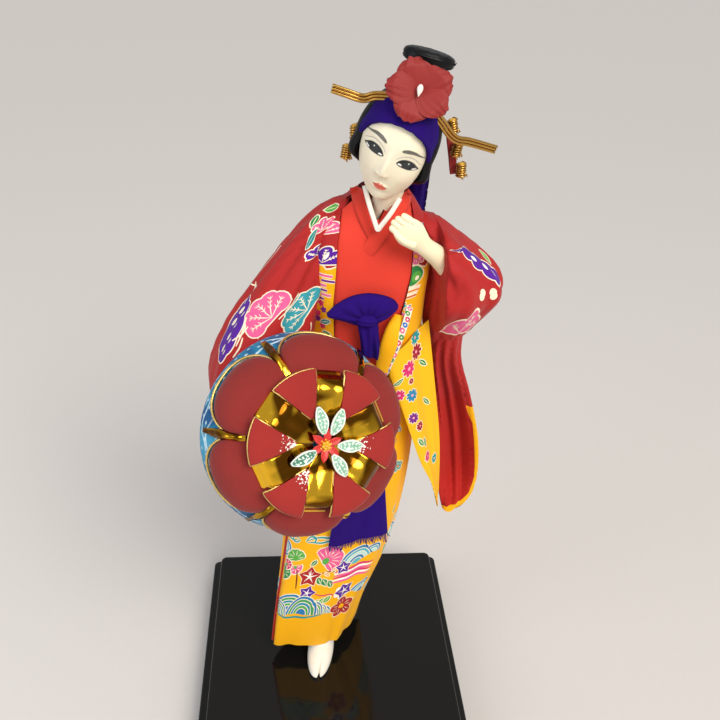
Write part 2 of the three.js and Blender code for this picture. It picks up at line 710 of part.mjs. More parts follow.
// The red inner robe shows between the outer robe's front strips, with a V at the neck.
const chestOutline = outlineOf([
  [-1, robeBottom - 1], [18, robeBottom - 1], [21, 225], [23.5, 244], [26.5, 260], [27, 274], [25, 290],
  [21.5, 296], [12.6, 279], [6.5, 296], [-1, 291], [-3.5, 274], [-4, 260], [-4.5, 247],
]);
{
  const front = solid(plate(chestOutline, -40, -5));
  add('inner_robe', geometryOf(solid(torso(1)).intersect(front)), clothRed, 0.85);

  const opening = grown(plate(chestOutline, -40, -5), 3 * gap);
  const robe = solid(torso()).subtract(solid(opening));
  add('outer_robe', geometryOf(robe), clothRed, 0.85);
}
{
  const folds = (angle, t) => 0.8 * Math.sin(angle * 9 + 2 * t) * (1 - t);
  const skirt = stacked([
    { z: hemHeight, x: -7, y: 7, a: 19.5, b: 17.5, lean: 0.5, square: 4.2 },
    { z: 60, x: -4, y: 6, a: 22.5, b: 19, lean: 0.4, square: 3.2 },
    { z: 90, x: 0.5, y: 5, a: 26, b: 20, lean: 0.25, square: 3 },
    { z: 120, x: 3.5, y: 3, a: 28, b: 20.5, lean: 0.12, square: 2.8 },
    { z: 150, x: 6.5, y: 2, a: 28, b: 20, lean: 0.05, square: 2.6 },
    { z: 175, x: 8.5, y: 1.5, a: 27, b: 19.5, lean: 0.02, square: 2.5 },
    { z: robeBottom - gap, x: 10, y: 2, a: 26, b: 19, lean: 0, square: 2.5 },
  ], 20, 8, folds);
  add('skirt', skirt, yellow, 0.85);
}

// Feet in split-toed socks, just under the hem
function foot(toe, heel, halfWidth) {
  const length = Math.hypot(toe[0] - heel[0], toe[1] - heel[1]);
  const sole = baseHeight + gap;
  const body = stacked([
    { z: sole, x: 0, y: 0, a: halfWidth * 0.86, b: length / 2 - 0.8 },
    { z: sole + 1.5, x: 0, y: 0, a: halfWidth, b: length / 2 },
    { z: sole + 4.5, x: 0, y: 1.2, a: halfWidth * 0.94, b: length / 2 - 2 },
    { z: sole + 7.5, x: 0, y: 5, a: halfWidth * 0.8, b: length / 2 - 6.5 },
    { z: hemHeight - gap, x: 0, y: 7.5, a: halfWidth * 0.72, b: length / 2 - 9.5 },
  ], 14, 5);
  const split = new THREE.BoxGeometry(0.9, 8, 12).translate(0.6, -length / 2, sole + 4);
  const shape = geometryOf(solid(body).subtract(solid(split)));
  shape.rotateZ(Math.atan2(toe[0] - heel[0], heel[1] - toe[1]));
  shape.translate((toe[0] + heel[0]) / 2, (toe[1] + heel[1]) / 2, 0);
  return shape;
}
add('foot_right', foot([-8.5, -26], [-3, 11], 7), ivory, 0.6);
add('foot_left', foot([2, 4], [7, 31], 5.6), ivory, 0.6);

// The lacquered base: a plinth, a shadow gap and a raised board
{
  const board = (half, from, to, corner, bevel) => {
    const side = half - corner;
    const outline = new THREE.Shape();
    [[side, side, 0], [-side, side, 1], [-side, -side, 2], [side, -side, 3]].forEach(([x, y, quarter]) => {
      outline.absarc(x, y, corner, quarter * Math.PI / 2, (quarter + 1) * Math.PI / 2, false);
    });
    const geometry = welded(new THREE.ExtrudeGeometry(outline, {
      depth: to - from - 2 * bevel,
      bevelEnabled: bevel > 0,
      bevelThickness: bevel,
      bevelSize: bevel,
      bevelOffset: -bevel,
      bevelSegments: 1,
      curveSegments: 2,
    }));
    geometry.translate(0, 0, from + bevel);
    return geometry;
  };
  const grooveTop = plinthHeight + grooveHeight;
  add('base', joined(
    board(baseHalf, 0, plinthHeight, 4, 0.7),
    board(baseTopHalf - grooveInset, plinthHeight - 1, grooveTop + 1, 3, 0),
    board(baseTopHalf, grooveTop, baseHeight, 3.5, 0.8),
  ), black, 0.12);
}

export default group;
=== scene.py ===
# A dancer doll in a printed robe with a flower hat, on a stepped lacquer board.
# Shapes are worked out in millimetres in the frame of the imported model, and written in metres.
import json
import math

import bpy
import numpy as np
from numpy import arange, arctan2, array, asarray, clip, concatenate, cos, cross, cumsum, diff, float32, \
    full, gradient, hypot, int32, interp, linspace, maximum, meshgrid, minimum, ones, radians, repeat, \
    sin, sqrt, stack, tile, zeros
from mathutils import Matrix, Vector, noise
from mathutils.geometry import delaunay_2d_cdt

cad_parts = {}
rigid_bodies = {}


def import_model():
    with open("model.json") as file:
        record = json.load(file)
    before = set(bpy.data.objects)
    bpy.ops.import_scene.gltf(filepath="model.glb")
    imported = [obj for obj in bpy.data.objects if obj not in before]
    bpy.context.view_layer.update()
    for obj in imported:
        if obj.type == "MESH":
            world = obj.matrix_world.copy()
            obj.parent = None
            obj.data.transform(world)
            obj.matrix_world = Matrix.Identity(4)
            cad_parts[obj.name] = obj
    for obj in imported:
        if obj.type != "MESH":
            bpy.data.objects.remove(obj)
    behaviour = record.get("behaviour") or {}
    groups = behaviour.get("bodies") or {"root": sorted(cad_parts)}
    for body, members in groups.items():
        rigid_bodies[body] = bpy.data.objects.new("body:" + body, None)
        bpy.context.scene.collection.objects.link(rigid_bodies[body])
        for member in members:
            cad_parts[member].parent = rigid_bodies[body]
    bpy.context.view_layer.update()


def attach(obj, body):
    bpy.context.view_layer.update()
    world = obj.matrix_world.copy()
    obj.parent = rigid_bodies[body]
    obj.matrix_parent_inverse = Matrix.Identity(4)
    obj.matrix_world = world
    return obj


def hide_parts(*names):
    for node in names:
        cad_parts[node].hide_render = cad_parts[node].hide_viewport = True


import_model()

mm = 0.001
rng = np.random.default_rng(7)

# Small helpers for numbers

def rad(degrees):
    return degrees * math.pi / 180


def linear(hexColour, alpha=1.0):
    channels = [int(hexColour[i:i + 2], 16) / 255 for i in (1, 3, 5)]
    return (*[c / 12.92 if c <= 0.04045 else ((c + 0.055) / 1.055) ** 2.4 for c in channels], alpha)


def smoothStep(low, high, x):
    t = clip((x - low) / (high - low), 0, 1)
    return t * t * (3 - 2 * t)


def bump(x, centre, width):
    return np.exp(-((x - centre) / width) ** 2)


def twoBumps(x, centre, width):  # one at each side of zero
    return bump(x, centre, width) + bump(x, -centre, width)


def unit(vectors):
    return vectors / maximum(np.linalg.norm(vectors, axis=-1, keepdims=True), 1e-12)


def turnsOf(count):  # even steps round a circle
    return arange(count) / count * 2 * math.pi


def signedPower(value, power):
    return np.sign(value) * np.abs(value) ** power


def rowsOf(keys, *rows):  # one dictionary for each row of numbers
    return [dict(zip(keys.split(), row)) for row in rows]


def tableOf(rows):  # rows of numbers become smooth curves, read at t from 0 to 1
    keys = list(rows[0])
    values = array([[row[key] for key in keys] for row in rows], float)
    last = len(rows) - 1

    def at(t):
        place = clip(asarray(t, float), 0, 1) * last
        i = minimum(place.astype(int), last - 1)
        w = (place - i)[..., None]
        p0, p1, p2, p3 = [values[clip(i + k, 0, last)] for k in (-1, 0, 1, 2)]
        v1, v2 = (p2 - p0) / 2, (p3 - p1) / 2
        value = (2 * p1 - 2 * p2 + v1 + v2) * w ** 3 + (3 * p2 - 3 * p1 - 2 * v1 - v2) * w ** 2 + v1 * w + p1
        return {key: value[..., k] for k, key in enumerate(keys)}
    return at


def curve(points, count=14):  # a smooth line through points of two or three numbers
    keys = "xyz"[:len(points[0])]
    at = tableOf([dict(zip(keys, p)) for p in points])(linspace(0, 1, count))
    return stack([at[k] for k in keys], -1)


def pathOf(points, count):  # the same, at even steps along it
    line = curve(points, 40 * len(points))
    run = concatenate([[0], cumsum(np.linalg.norm(diff(line, axis=0), axis=1))])
    return stack([interp(linspace(0, run[-1], count), run, line[:, k]) for k in range(3)], -1)


def ripple(points, size, seed=0):  # smooth random numbers from -1 to 1 in space
    flat = asarray(points, float).reshape(-1, 3) / size + seed * 17.3
    return array([noise.noise(Vector(p)) for p in flat]).reshape(np.shape(points)[:-1])


def dyed(count, hexColour):
    return tile(array(linear(hexColour)), (count, 1))


def paintOver(dyes, mask, hexColour):  # mask from 0 to 1
    mask = asarray(mask, float)[:, None]
    return dyes * (1 - mask) + array(linear(hexColour)) * mask


# Meshes

def makePiece(name, points, faces, material, slot, node=None, flat=None, dyes=None, normals=None, bakeUv=None,
              parts=None):
    # node is the solid that the piece replaces, flat the cloth's own coordinates in mm, dyes one colour for
    # each face or point, and parts each face's material
    mesh = bpy.data.meshes.new(name)
    mesh.from_pydata((asarray(points) * mm).tolist(), [], [list(map(int, f)) for f in faces])
    for one in (material if isinstance(material, list) else [material]):
        mesh.materials.append(one)
    if parts is not None:
        mesh.polygons.foreach_set("material_index", asarray(parts, int32))
    mesh.polygons.foreach_set("use_smooth", ones(len(mesh.polygons), bool))
    corners = np.empty(len(mesh.loops), int32)
    mesh.loops.foreach_get("vertex_index", corners)

    def bothSides(values):  # a slab's underside has what its top has
        return concatenate([values, values]) if len(values) * 2 == len(points) else asarray(values)

    if bakeUv is not None:
        layer = mesh.uv_layers.new(name="OFBake")
        layer.data.foreach_set("uv", asarray(bakeUv, float32)[corners].ravel())
    if flat is not None:
        layer = mesh.uv_layers.new(name="threads")
        layer.data.foreach_set("uv", (bothSides(flat).astype(float32)[corners] * mm).ravel())
    if dyes is not None:
        dyes = bothSides(dyes).astype(float32)
        sizes = np.empty(len(mesh.polygons), int32)
        mesh.polygons.foreach_get("loop_total", sizes)
        colours = repeat(dyes, sizes, axis=0) if len(dyes) == len(mesh.polygons) else dyes[corners]
        layer = mesh.color_attributes.new("dye", "FLOAT_COLOR", "CORNER")
        layer.data.foreach_set("color", colours.ravel())
    mesh.update()
    if normals is not None:
        mesh.normals_split_custom_set_from_vertices(asarray(normals).tolist())
    piece = bpy.data.objects.new(name, mesh)
    bpy.context.scene.collection.objects.link(piece)
    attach(piece, "root")
    if node:
        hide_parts(node)
    return piece


def gridFaces(across, along, closed=False):
    columns = across if closed else across - 1
    i, j = meshgrid(arange(columns), arange(along - 1))
    a = j * across + i
    b = j * across + (i + 1) % across
    return stack([a, b, b + across, a + across], -1).reshape(-1, 4)


def barFaces(around, rings):  # the sides and the two ends of a bar
    last = (rings - 1) * around
    ends = [list(range(around))[::-1], [last + k for k in range(around)]]
    return [list(f) for f in gridFaces(around, rings, True)] + ends


def flipped(faces):
    return [list(f)[::-1] for f in faces]


def spotsOf(across, along, closed=False):  # even steps of s and t from 0 to 1
    s, t = meshgrid(arange(across) / (across if closed else across - 1), linspace(0, 1, along))
    return s.ravel(), t.ravel()


def outward(surface, s, t, step=0.002):
    du = surface(minimum(s + step, 1), t) - surface(maximum(s - step, 0), t)
    dv = surface(s, minimum(t + step, 1)) - surface(s, maximum(t - step, 0))
    return unit(cross(du, dv))


def slab(surface, across, along, thick, closed=False):  # a thin shell on a surface of s and t
    s, t = spotsOf(across, along, closed)
    top = surface(s, t)
    count = len(top)
    face = gridFaces(across, along, closed)
    faces = [face, face[:, ::-1] + count]
    for k, line in enumerate([arange(across), arange(across) + across * (along - 1)]):
        a, b = line, np.roll(line, -1)
        if not closed:
            a, b = a[:-1], b[:-1]
        rim = stack([b, a, a + count, b + count], -1)
        faces.append(rim if k == 0 else rim[:, ::-1])
    columns = [arange(along) * across, arange(along) * across + across - 1]
    for k, line in enumerate([] if closed else columns):
        a, b = line[:-1], line[1:]
        rim = stack([a, b, b + count, a + count], -1)
        faces.append(rim if k == 0 else rim[:, ::-1])
    return concatenate([top, top - outward(surface, s, t) * thick]), concatenate(faces)


def slabPiece(name, surface, counts, thick, size, material, slot, node=None, dyes=None, closed=False, shift=0,
              flip=False):
    # counts of points across and along; size is what the cloth or film measures, in mm
    points, faces = slab(surface, *counts, thick, closed)
    s, t = spotsOf(*counts, closed)
    flat = stack([s * size[0] + shift, t * size[1]], -1) if size else None
    return makePiece(name, points, flipped(faces) if flip else faces, material, slot, node, flat, dyes)


def tube(line, radius, around=10, flatten=1.0, lead=(0.31, 0.22, 0.93)):
    # a round bar along a line; radius is one number or one for each point
    line = asarray(line, float)
    ahead = np.roll(line, -1, 0) - np.roll(line, 1, 0)
    ahead[0] = line[1] - line[0]
    ahead[-1] = line[-1] - line[-2]
    ahead = unit(ahead)
    side = np.empty_like(line)
    side[0] = unit(cross(ahead[0], lead))
    for i in range(1, len(line)):
        side[i] = unit(side[i - 1] - ahead[i] * np.dot(side[i - 1], ahead[i]))
    other = cross(ahead, side)
    turn = turnsOf(around)[None, :, None]
    size = np.broadcast_to(asarray(radius, float), len(line))[:, None, None]
    ring = side[:, None] * cos(turn) + other[:, None] * (flatten * sin(turn))
    return (line[:, None] + ring * size).reshape(-1, 3), barFaces(around, len(line))


def ball(centre, half, around=16, rings=10):
    turn, tip = meshgrid(turnsOf(around), linspace(0, math.pi, rings + 1)[1:-1])
    shell = stack([sin(tip) * cos(turn), sin(tip) * sin(turn), cos(tip)], -1).reshape(-1, 3)
    points = concatenate([shell, [[0, 0, 1], [0, 0, -1]]]) * half + centre
    faces = flipped(gridFaces(around, rings - 1, True))
    top, low, last = len(shell), len(shell) + 1, (rings - 2) * around
    faces += [[top, k, (k + 1) % around] for k in range(around)]
    faces += [[low, last + (k + 1) % around, last + k] for k in range(around)]
    return points, faces


def together(*shapes):  # several meshes as one
    points, faces, base = [], [], 0
    for shape in shapes:
        points.append(shape[0])
        faces += [[base + i for i in f] for f in shape[1]]
        base += len(shape[0])
    return concatenate(points), faces


def limb(rows, around=36, levels=60):  # a bar with two half widths, along a smooth line
    at = tableOf(rowsOf("x y z wide deep", *rows))
    t = linspace(0, 1, levels)
    ahead, behind, here = at(minimum(1, t + 0.01)), at(maximum(0, t - 0.01)), at(t)
    centre = stack([here[k] for k in "xyz"], -1)
    direction = unit(stack([ahead[k] - behind[k] for k in "xyz"], -1))
    wide = unit(cross((0, 1, 0), direction))
    deep = unit(cross(wide, direction))
    turn = turnsOf(around)[None, :, None]
    points = centre[:, None] + wide[:, None] * sin(turn) * here["wide"][:, None, None] \
        + deep[:, None] * cos(turn) * here["deep"][:, None, None]
    return points.reshape(-1, 3), barFaces(around, levels)

# Materials

def newMaterial(name):
    material = bpy.data.materials.new(name)
    material.use_nodes = True
    tree = material.node_tree
    return material, tree, tree.nodes["Principled BSDF"]


def feed(tree, socket, value):  # value is a number, a colour or another node's output
    if isinstance(value, bpy.types.NodeSocket):
        tree.links.new(value, socket)
    else:
        socket.default_value = value


def addNode(tree, kind, inputs=(), stops=(), **settings):
    node = tree.nodes.new("ShaderNode" + kind)
    for k, (place, colour) in enumerate(stops):
        node.color_ramp.elements[k].position = place
        node.color_ramp.elements[k].color = linear(colour)
    for key, value in settings.items():
        setattr(node, key, value)
    for key, value in dict(inputs).items():
        feed(tree, node.inputs[key], value)
    return node


def setShader(tree, shader, **values):
    names = {"colour": "Base Color", "roughness": "Roughness", "metallic": "Metallic", "ior": "IOR",
             "coat": "Coat Weight", "coatRoughness": "Coat Roughness", "sheen": "Sheen Weight",
             "sheenRoughness": "Sheen Roughness", "subsurface": "Subsurface Weight",
             "subsurfaceScale": "Subsurface Scale", "normal": "Normal"}
    for key, value in values.items():
        feed(tree, shader.inputs[names[key]], value)


threadSettings = {
    "spacing": 0.42,        # mm between threads; the real ones are about 0.2, drawn coarser so that they show
    "unevenness": 45,       # mm, how far apart the cloth's lighter and darker patches lie
    "crumple": 9,           # mm
    "waveScale": 0.314159,  # a wave texture's scale for one band in a unit of length
}


def clothMaterial(name, colour, roughness, sheen, lift, patch):
    # a woven cloth: its threads catch the light in fine rows, and its colour is a little uneven
    material, tree, shader = newMaterial(name)
    flat, here = addNode(tree, "UVMap", uv_map="threads").outputs[0], addNode(tree,
                                                                              "TexCoord").outputs["Object"]
    rows = [addNode(tree, "TexWave",
                    {"Vector": flat, "Scale": threadSettings["waveScale"] / (threadSettings["spacing"] * mm),
                     "Distortion": 0.6, "Detail": 1.0}, bands_direction=way).outputs["Fac"] for way in "XY"]
    threads = addNode(tree, "Math", dict(enumerate(rows)), operation="MULTIPLY").outputs[0]
    uneven = addNode(tree, "TexNoise", {"Vector": here, "Scale": 1 / (threadSettings["unevenness"] * mm),
                                        "Detail": 3.0}).outputs["Fac"]
    crumple = addNode(tree, "TexNoise", {"Vector": here, "Scale": 1 / (threadSettings["crumple"] * mm),
                                         "Detail": 2.0}).outputs["Fac"]
    soft, grain = addNode(tree, "MapRange",
                          {"Value": uneven, "To Min": 1 - patch,
                           "To Max": 1 + patch}).outputs[0], addNode(tree, "MapRange",
                                                                     {"Value": threads, "To Min": 0.9,
                                                                      "To Max": 1.04}).outputs[0]
    source = linear(colour) if colour else addNode(tree, "VertexColor", layer_name="dye").outputs["Color"]
    setShader(tree, shader,
              colour=addNode(tree, "Mix",
                             {"Factor": 1, "A": source,
                              "B": addNode(tree, "Math", {0: soft, 1: grain},
                                           operation="MULTIPLY").outputs[0]}, data_type="RGBA",
                             blend_type="MULTIPLY").outputs["Result"], sheen=sheen,
              sheenRoughness=0.4, ior=1.3, roughness=addNode(tree, "MapRange",
                                                             {"Value": threads, "To Min": roughness + 0.08,
                                                              "To Max": roughness - 0.06}).outputs[0])
    setShader(tree, shader,
              normal=addNode(tree, "Bump",
                             {"Distance": lift * mm, "Strength": 1.0,
                              "Height": addNode(tree, "Math", {0: crumple, 1: 1.6, 2: threads},
                                                operation="MULTIPLY_ADD").outputs[0]}).outputs[0])
    return material


# Stencil-dyed cotton satin: crisp dyed motifs, and a faint gloss along the folds
printedCotton = clothMaterial("printed_cotton_satin", None, 0.55, 0.06, 0.05, 0.07)
hatPrint = clothMaterial("wave_printed_cotton", None, 0.5, 0.1, 0.05, 0.06)     # the hat's blue cover
# Rayon crepe, dyed in one colour: matt, with a fine pebbled weave
plainRedCrepe = clothMaterial("red_rayon_crepe", "#E2402F", 0.65, 0.08, 0.06, 0.06)
purpleCrepe = clothMaterial("purple_rayon_crepe", "#24006E", 0.85, 0.0, 0.09, 0.12)
whiteCotton = clothMaterial("white_cotton", "#F3EEE2", 0.75, 0.1, 0.06, 0.05)
redLining = clothMaterial("red_cotton_lining", "#B9241C", 0.5, 0.15, 0.05, 0.08)


def feltMaterial(name, colour, deep):
    # pressed felt: no gloss, short fibres that soften its edges, darker in broad random patches, with white
    # specks painted on where the piece's dye layer says so: painted glints that stand for the foil's glare on
    # the felt
    material, tree, shader = newMaterial(name)
    here = addNode(tree, "TexCoord").outputs["Object"]
    fibres = addNode(tree, "TexNoise", {"Vector": here, "Scale": 1 / (0.5 * mm), "Detail": 5.0,
                                        "Roughness": 0.7}).outputs["Fac"]
    patches = addNode(tree, "MapRange",
                      {"Value": addNode(tree, "TexNoise",
                                        {"Vector": here, "Scale": 1 / (14 * mm),
                                         "Detail": 2.0}).outputs["Fac"], "To Min": 0.25,
                       "To Max": 1.1}).outputs[0]
    ground = addNode(tree, "Mix", {"Factor": patches, "A": linear(deep), "B": linear(colour)},
                     data_type="RGBA").outputs["Result"]
    ground = addNode(tree, "Mix",
                     {"Factor": 1, "A": ground,
                      "B": addNode(tree, "MapRange",
                                   {"Value": fibres, "To Min": 0.82, "To Max": 1.14}).outputs[0]},
                     data_type="RGBA", blend_type="MULTIPLY").outputs["Result"]
    # painted glints: the white specks are colour only on the matt felt, standing for glare from the foil
    flakes = addNode(tree, "TexVoronoi", {"Scale": 1 / (0.5 * mm), "Vector": here}).outputs["Color"]
    pick = addNode(tree, "SeparateColor", {"Color": flakes}).outputs[0]
    bright = addNode(tree, "Math",
                     {0: pick,
                      1: addNode(tree, "Math",
                                 {0: addNode(tree, "VertexColor", layer_name="dye").outputs["Color"],
                                  1: 0.75}, operation="MULTIPLY").outputs[0]},
                     operation="LESS_THAN").outputs[0]
    setShader(tree, shader, colour=addNode(tree, "Mix", {"Factor": bright, "A": ground,
                                                         "B": linear("#F2E9E4")},
                                           data_type="RGBA").outputs["Result"], roughness=0.95, sheen=0.1,
              sheenRoughness=0.35)
    setShader(tree, shader, normal=addNode(tree, "Bump",
                                           {"Distance": 0.12 * mm, "Strength": 1.0,
                                            "Height": fibres}).outputs[0])
    return material


redFelt = feltMaterial("red_felt", "#8B2622", "#771D1A")
brightFelt = feltMaterial("bright_red_felt", "#A02721", "#8A1E1B")


def goldMaterial(name, colour, roughness, crease, creaseSize, worn=0.1, dark=None):
    # polished gold-coloured metal: mirror-like, broken up by shallow creases; where dark is given, painted
    # reflections of a room as dark and bright streaks in its colour
    material, tree, shader = newMaterial(name)
    here = addNode(tree, "TexCoord").outputs["Object"]
    wear = addNode(tree, "TexNoise", {"Vector": here, "Scale": 1 / (1.2 * mm), "Detail": 3.0}).outputs["Fac"]
    tone = linear(colour)
    # painted reflection: dark and bright streaks in the colour, along the threads map, stand for the room
    # mirrored in the film
    if dark:
        inputs = {"Vector": addNode(tree, "Mapping",
                                    {"Vector": addNode(tree, "UVMap", uv_map="threads").outputs[0],
                                     "Scale": (1 / (17 * mm), 1 / (8 * mm), 1)}).outputs[0], "Scale": 1.0,
                  "Detail": 0.0,
                  "Distortion": 0.5}
        paintedReflectionStreaks = addNode(tree, "TexNoise", inputs).outputs["Fac"]
        tone = addNode(tree, "ValToRGB", {"Fac": paintedReflectionStreaks}, zip((0.44, 0.55), (dark, colour))).outputs["Color"]
    setShader(tree, shader,
              colour=addNode(tree, "Mix",
                             {"Factor": 1, "A": tone,
                              "B": addNode(tree, "MapRange",
                                           {"Value": wear, "To Min": 1 - worn,
                                            "To Max": 1 + worn}).outputs[0]}, data_type="RGBA",
                             blend_type="MULTIPLY").outputs["Result"], metallic=1.0,
              roughness=addNode(tree, "MapRange", {"Value": wear, "To Min": roughness * 0.8,
                                                   "To Max": roughness * 1.3}).outputs[0])
    setShader(tree, shader,
              normal=addNode(tree, "Bump",
                             {"Distance": crease * mm, "Strength": 1.0,
                              "Height": addNode(tree, "TexNoise",
                                                {"Vector": here, "Scale": 1 / (creaseSize * mm),
                                                 "Detail": 1.5}).outputs["Fac"]}).outputs[0])
    return material


# Metallised film: mirror-like, with painted reflections of a room as hard bright and dark streaks in its
# colour
goldFoil = goldMaterial("gold_mirror_film", "#F2BC30", 0.12, 0.2, 7.0, 0.03, "#6A420C")
# Gilt wire and lame cord: narrow highlights along each strand
goldWire = goldMaterial("gilt_wire", "#C79A4E", 0.2, 0.02, 2.5, 0.08)
goldCord = goldMaterial("gold_lame_cord", "#E6C878", 0.38, 0.08, 0.6)


def lacquerMaterial(name):
    # black polyurethane lacquer on wood: deep gloss, a faint orange peel and a little dust
    material, tree, shader = newMaterial(name)
    here = addNode(tree, "TexCoord").outputs["Object"]
    dust = addNode(tree, "TexNoise", {"Vector": here, "Scale": 1 / (0.9 * mm), "Detail": 4.0,
                                      "Roughness": 0.75}).outputs["Fac"]
    setShader(tree, shader, colour=addNode(tree, "ValToRGB", {"Fac": dust},
                                           zip((0.63, 0.80), ("#12110F", "#2C2A28"))).outputs["Color"],
              roughness=addNode(tree, "MapRange", {"Value": dust, "To Min": 0.04, "To Max": 0.16}).outputs[0],
              coat=0.12, coatRoughness=0.03, ior=1.3)
    setShader(tree, shader,
              normal=addNode(tree, "Bump",
                             {"Distance": 0.03 * mm, "Strength": 1.0,
                              "Height": addNode(tree, "TexNoise",
                                                {"Vector": here, "Scale": 1 / (7 * mm),
                                                 "Detail": 1.0}).outputs["Fac"]}).outputs[0])
    return material


blackLacquer = lacquerMaterial("black_lacquer")


def skinMaterial(name):
    # cast resin under a satin ivory paint: soft, slightly translucent, features painted on
    material, tree, shader = newMaterial(name)
    coat = addNode(tree, "TexNoise", {"Vector": addNode(tree, "TexCoord").outputs["Object"],
                                      "Scale": 1 / (3 * mm), "Detail": 3.0}).outputs["Fac"]
    setShader(tree, shader,
              colour=addNode(tree, "Mix",
                             {"Factor": 1,
                              "A": addNode(tree, "VertexColor", layer_name="dye").outputs["Color"],
                              "B": addNode(tree, "MapRange",
                                           {"Value": coat, "To Min": 0.97, "To Max": 1.02}).outputs[0]},
                             data_type="RGBA", blend_type="MULTIPLY").outputs["Result"],
              roughness=addNode(tree, "MapRange", {"Value": coat, "To Min": 0.34, "To Max": 0.46}).outputs[0],
              subsurface=0.08, subsurfaceScale=1.5 * mm)
    setShader(tree, shader, normal=addNode(tree, "Bump",
                                           {"Distance": 0.02 * mm, "Strength": 1.0,
                                            "Height": coat}).outputs[0])
    return material


ivorySkin = skinMaterial("ivory_painted_resin")


def hairMaterial(name):
    # silk thread dyed black and combed flat: fine parallel strands with a soft band of gloss
    material, tree, shader = newMaterial(name)
    inputs = {"Vector": addNode(tree, "Mapping",
                                {"Vector": addNode(tree, "UVMap", uv_map="threads").outputs[0],
                                 "Scale": (1 / (0.35 * mm), 1 / (14 * mm), 1)}).outputs[0], "Scale": 1.0,
              "Detail": 3.0}
    strands = addNode(tree, "TexNoise", inputs).outputs["Fac"]
    setShader(tree, shader, colour=addNode(tree, "ValToRGB", {"Fac": strands},
                                           zip((0.3, 0.75), ("#040405", "#0C0C0F"))).outputs["Color"],
              roughness=addNode(tree, "MapRange", {"Value": strands, "To Min": 0.28,
                                                   "To Max": 0.5}).outputs[0], ior=1.3)
    setShader(tree, shader, normal=addNode(tree, "Bump",
                                           {"Distance": 0.07 * mm, "Strength": 1.0,
                                            "Height": strands}).outputs[0])
    return material


silkHair = hairMaterial("black_silk_hair")


def glitterMaterial(name, flake):
    # felt leaves dusted with silver glitter: a matt painted ground with small bright flakes
    material, tree, shader = newMaterial(name)
    flakes = addNode(tree, "TexVoronoi", {"Scale": 1 / (0.55 * mm),
                                          "Vector": addNode(tree,
                                                            "TexCoord").outputs["Object"]}).outputs["Color"]
    pick = addNode(tree, "SeparateColor", {"Color": flakes})
    bright = addNode(tree, "Math", {0: pick.outputs[0], 1: 0.8}, operation="GREATER_THAN").outputs[0]
    setShader(tree, shader,
              colour=addNode(tree, "Mix",
                             {"Factor": bright,
                              "A": addNode(tree, "VertexColor", layer_name="dye").outputs["Color"],
                              "B": linear(flake)}, data_type="RGBA").outputs["Result"],
              roughness=addNode(tree, "MapRange", {"Value": bright, "To Min": 0.75,
                                                   "To Max": 0.25}).outputs[0])
    setShader(tree, shader, normal=addNode(tree, "Bump",
                                           {"Distance": 0.1 * mm, "Strength": 1.0,
                                            "Height": pick.outputs[1]}).outputs[0])
    return material


paleLeaf = glitterMaterial("mint_glitter_felt", "#E4F0E4")


def glossMaterial(name, colour, deep, roughness, grain):
    # moulded or folded small trim: an even body colour, lightly mottled, with a clear highlight
    material, tree, shader = newMaterial(name)
    mottle = addNode(tree, "TexNoise", {"Vector": addNode(tree, "TexCoord").outputs["Object"],
                                        "Scale": 1 / (grain * mm), "Detail": 3.0}).outputs["Fac"]
    setShader(tree, shader, colour=addNode(tree, "Mix",
                                           {"Factor": mottle, "A": linear(deep), "B": linear(colour)},
                                           data_type="RGBA").outputs["Result"],
              roughness=addNode(tree, "MapRange", {"Value": mottle, "To Min": roughness * 0.8,
                                                   "To Max": roughness * 1.3}).outputs[0])
    setShader(tree, shader, normal=addNode(tree, "Bump",
                                           {"Distance": 0.06 * mm, "Strength": 1.0,
                                            "Height": mottle}).outputs[0])
    return material


redPaper = glossMaterial("red_foil_paper", "#E0342C", "#B01E1C", 0.4, 1.0)
amberBead = glossMaterial("amber_glass_bead", "#F2C035", "#C98A12", 0.18, 1.5)
whiteBead = glossMaterial("white_pearl_bead", "#F7F3EA", "#E6DECF", 0.2, 2.0)
tabiCotton = glossMaterial("white_tabi_cotton", "#F1EDE2", "#E4DDCB", 0.6, 1.2)


def pleatedMaterial(name):
    # red silk crepe, gathered: fine ridges run out from the middle, with painted shade darker between them
    material, tree, shader = newMaterial(name)
    ridges = addNode(tree, "TexWave",
                     {"Vector": addNode(tree, "UVMap", uv_map="threads").outputs[0],
                      "Scale": threadSettings["waveScale"] / (0.55 * mm), "Distortion": 1.2, "Detail": 2.0},
                     bands_direction="X").outputs["Fac"]
    # painted shade: the darker red lies in the valleys between the ridges
    setShader(tree, shader, colour=addNode(tree, "Mix", {"Factor": ridges, "A": linear("#85150F"),
                                                         "B": linear("#97201A")},
                                           data_type="RGBA").outputs["Result"], roughness=0.6,
              sheen=0.1, sheenRoughness=0.3)
    setShader(tree, shader, normal=addNode(tree, "Bump",
                                           {"Distance": 0.05 * mm, "Strength": 1.0,
                                            "Height": ridges}).outputs[0])
    return material


redSilk = pleatedMaterial("red_silk_crepe")
print("materials ready")

# Camera, light and floor

stageSettings = {
    "camera": (-20.9, -301.7, 400.8),          # mm
    "right": (0.9964, -0.0723, 0.0419),
    "up": (0.0032, 0.5336, 0.8455),
    "lens": 40.15,                              # mm on a 36 mm sensor
    "floor": "#D2CECA", "floorReach": 4.0,      # m
    "room": "#E4E4E6", "roomStrength": 0.66,
    "sunFrom": (0.34, -0.80, 0.80),             # the broad soft light over the viewer's right shoulder
    "sunSpread": 34,                            # degrees
    "sunStrength": 2.0,
    "aim": (0, 0, 130),                         # mm, what the softboxes face
}
here = bpy.context.scene.collection.objects

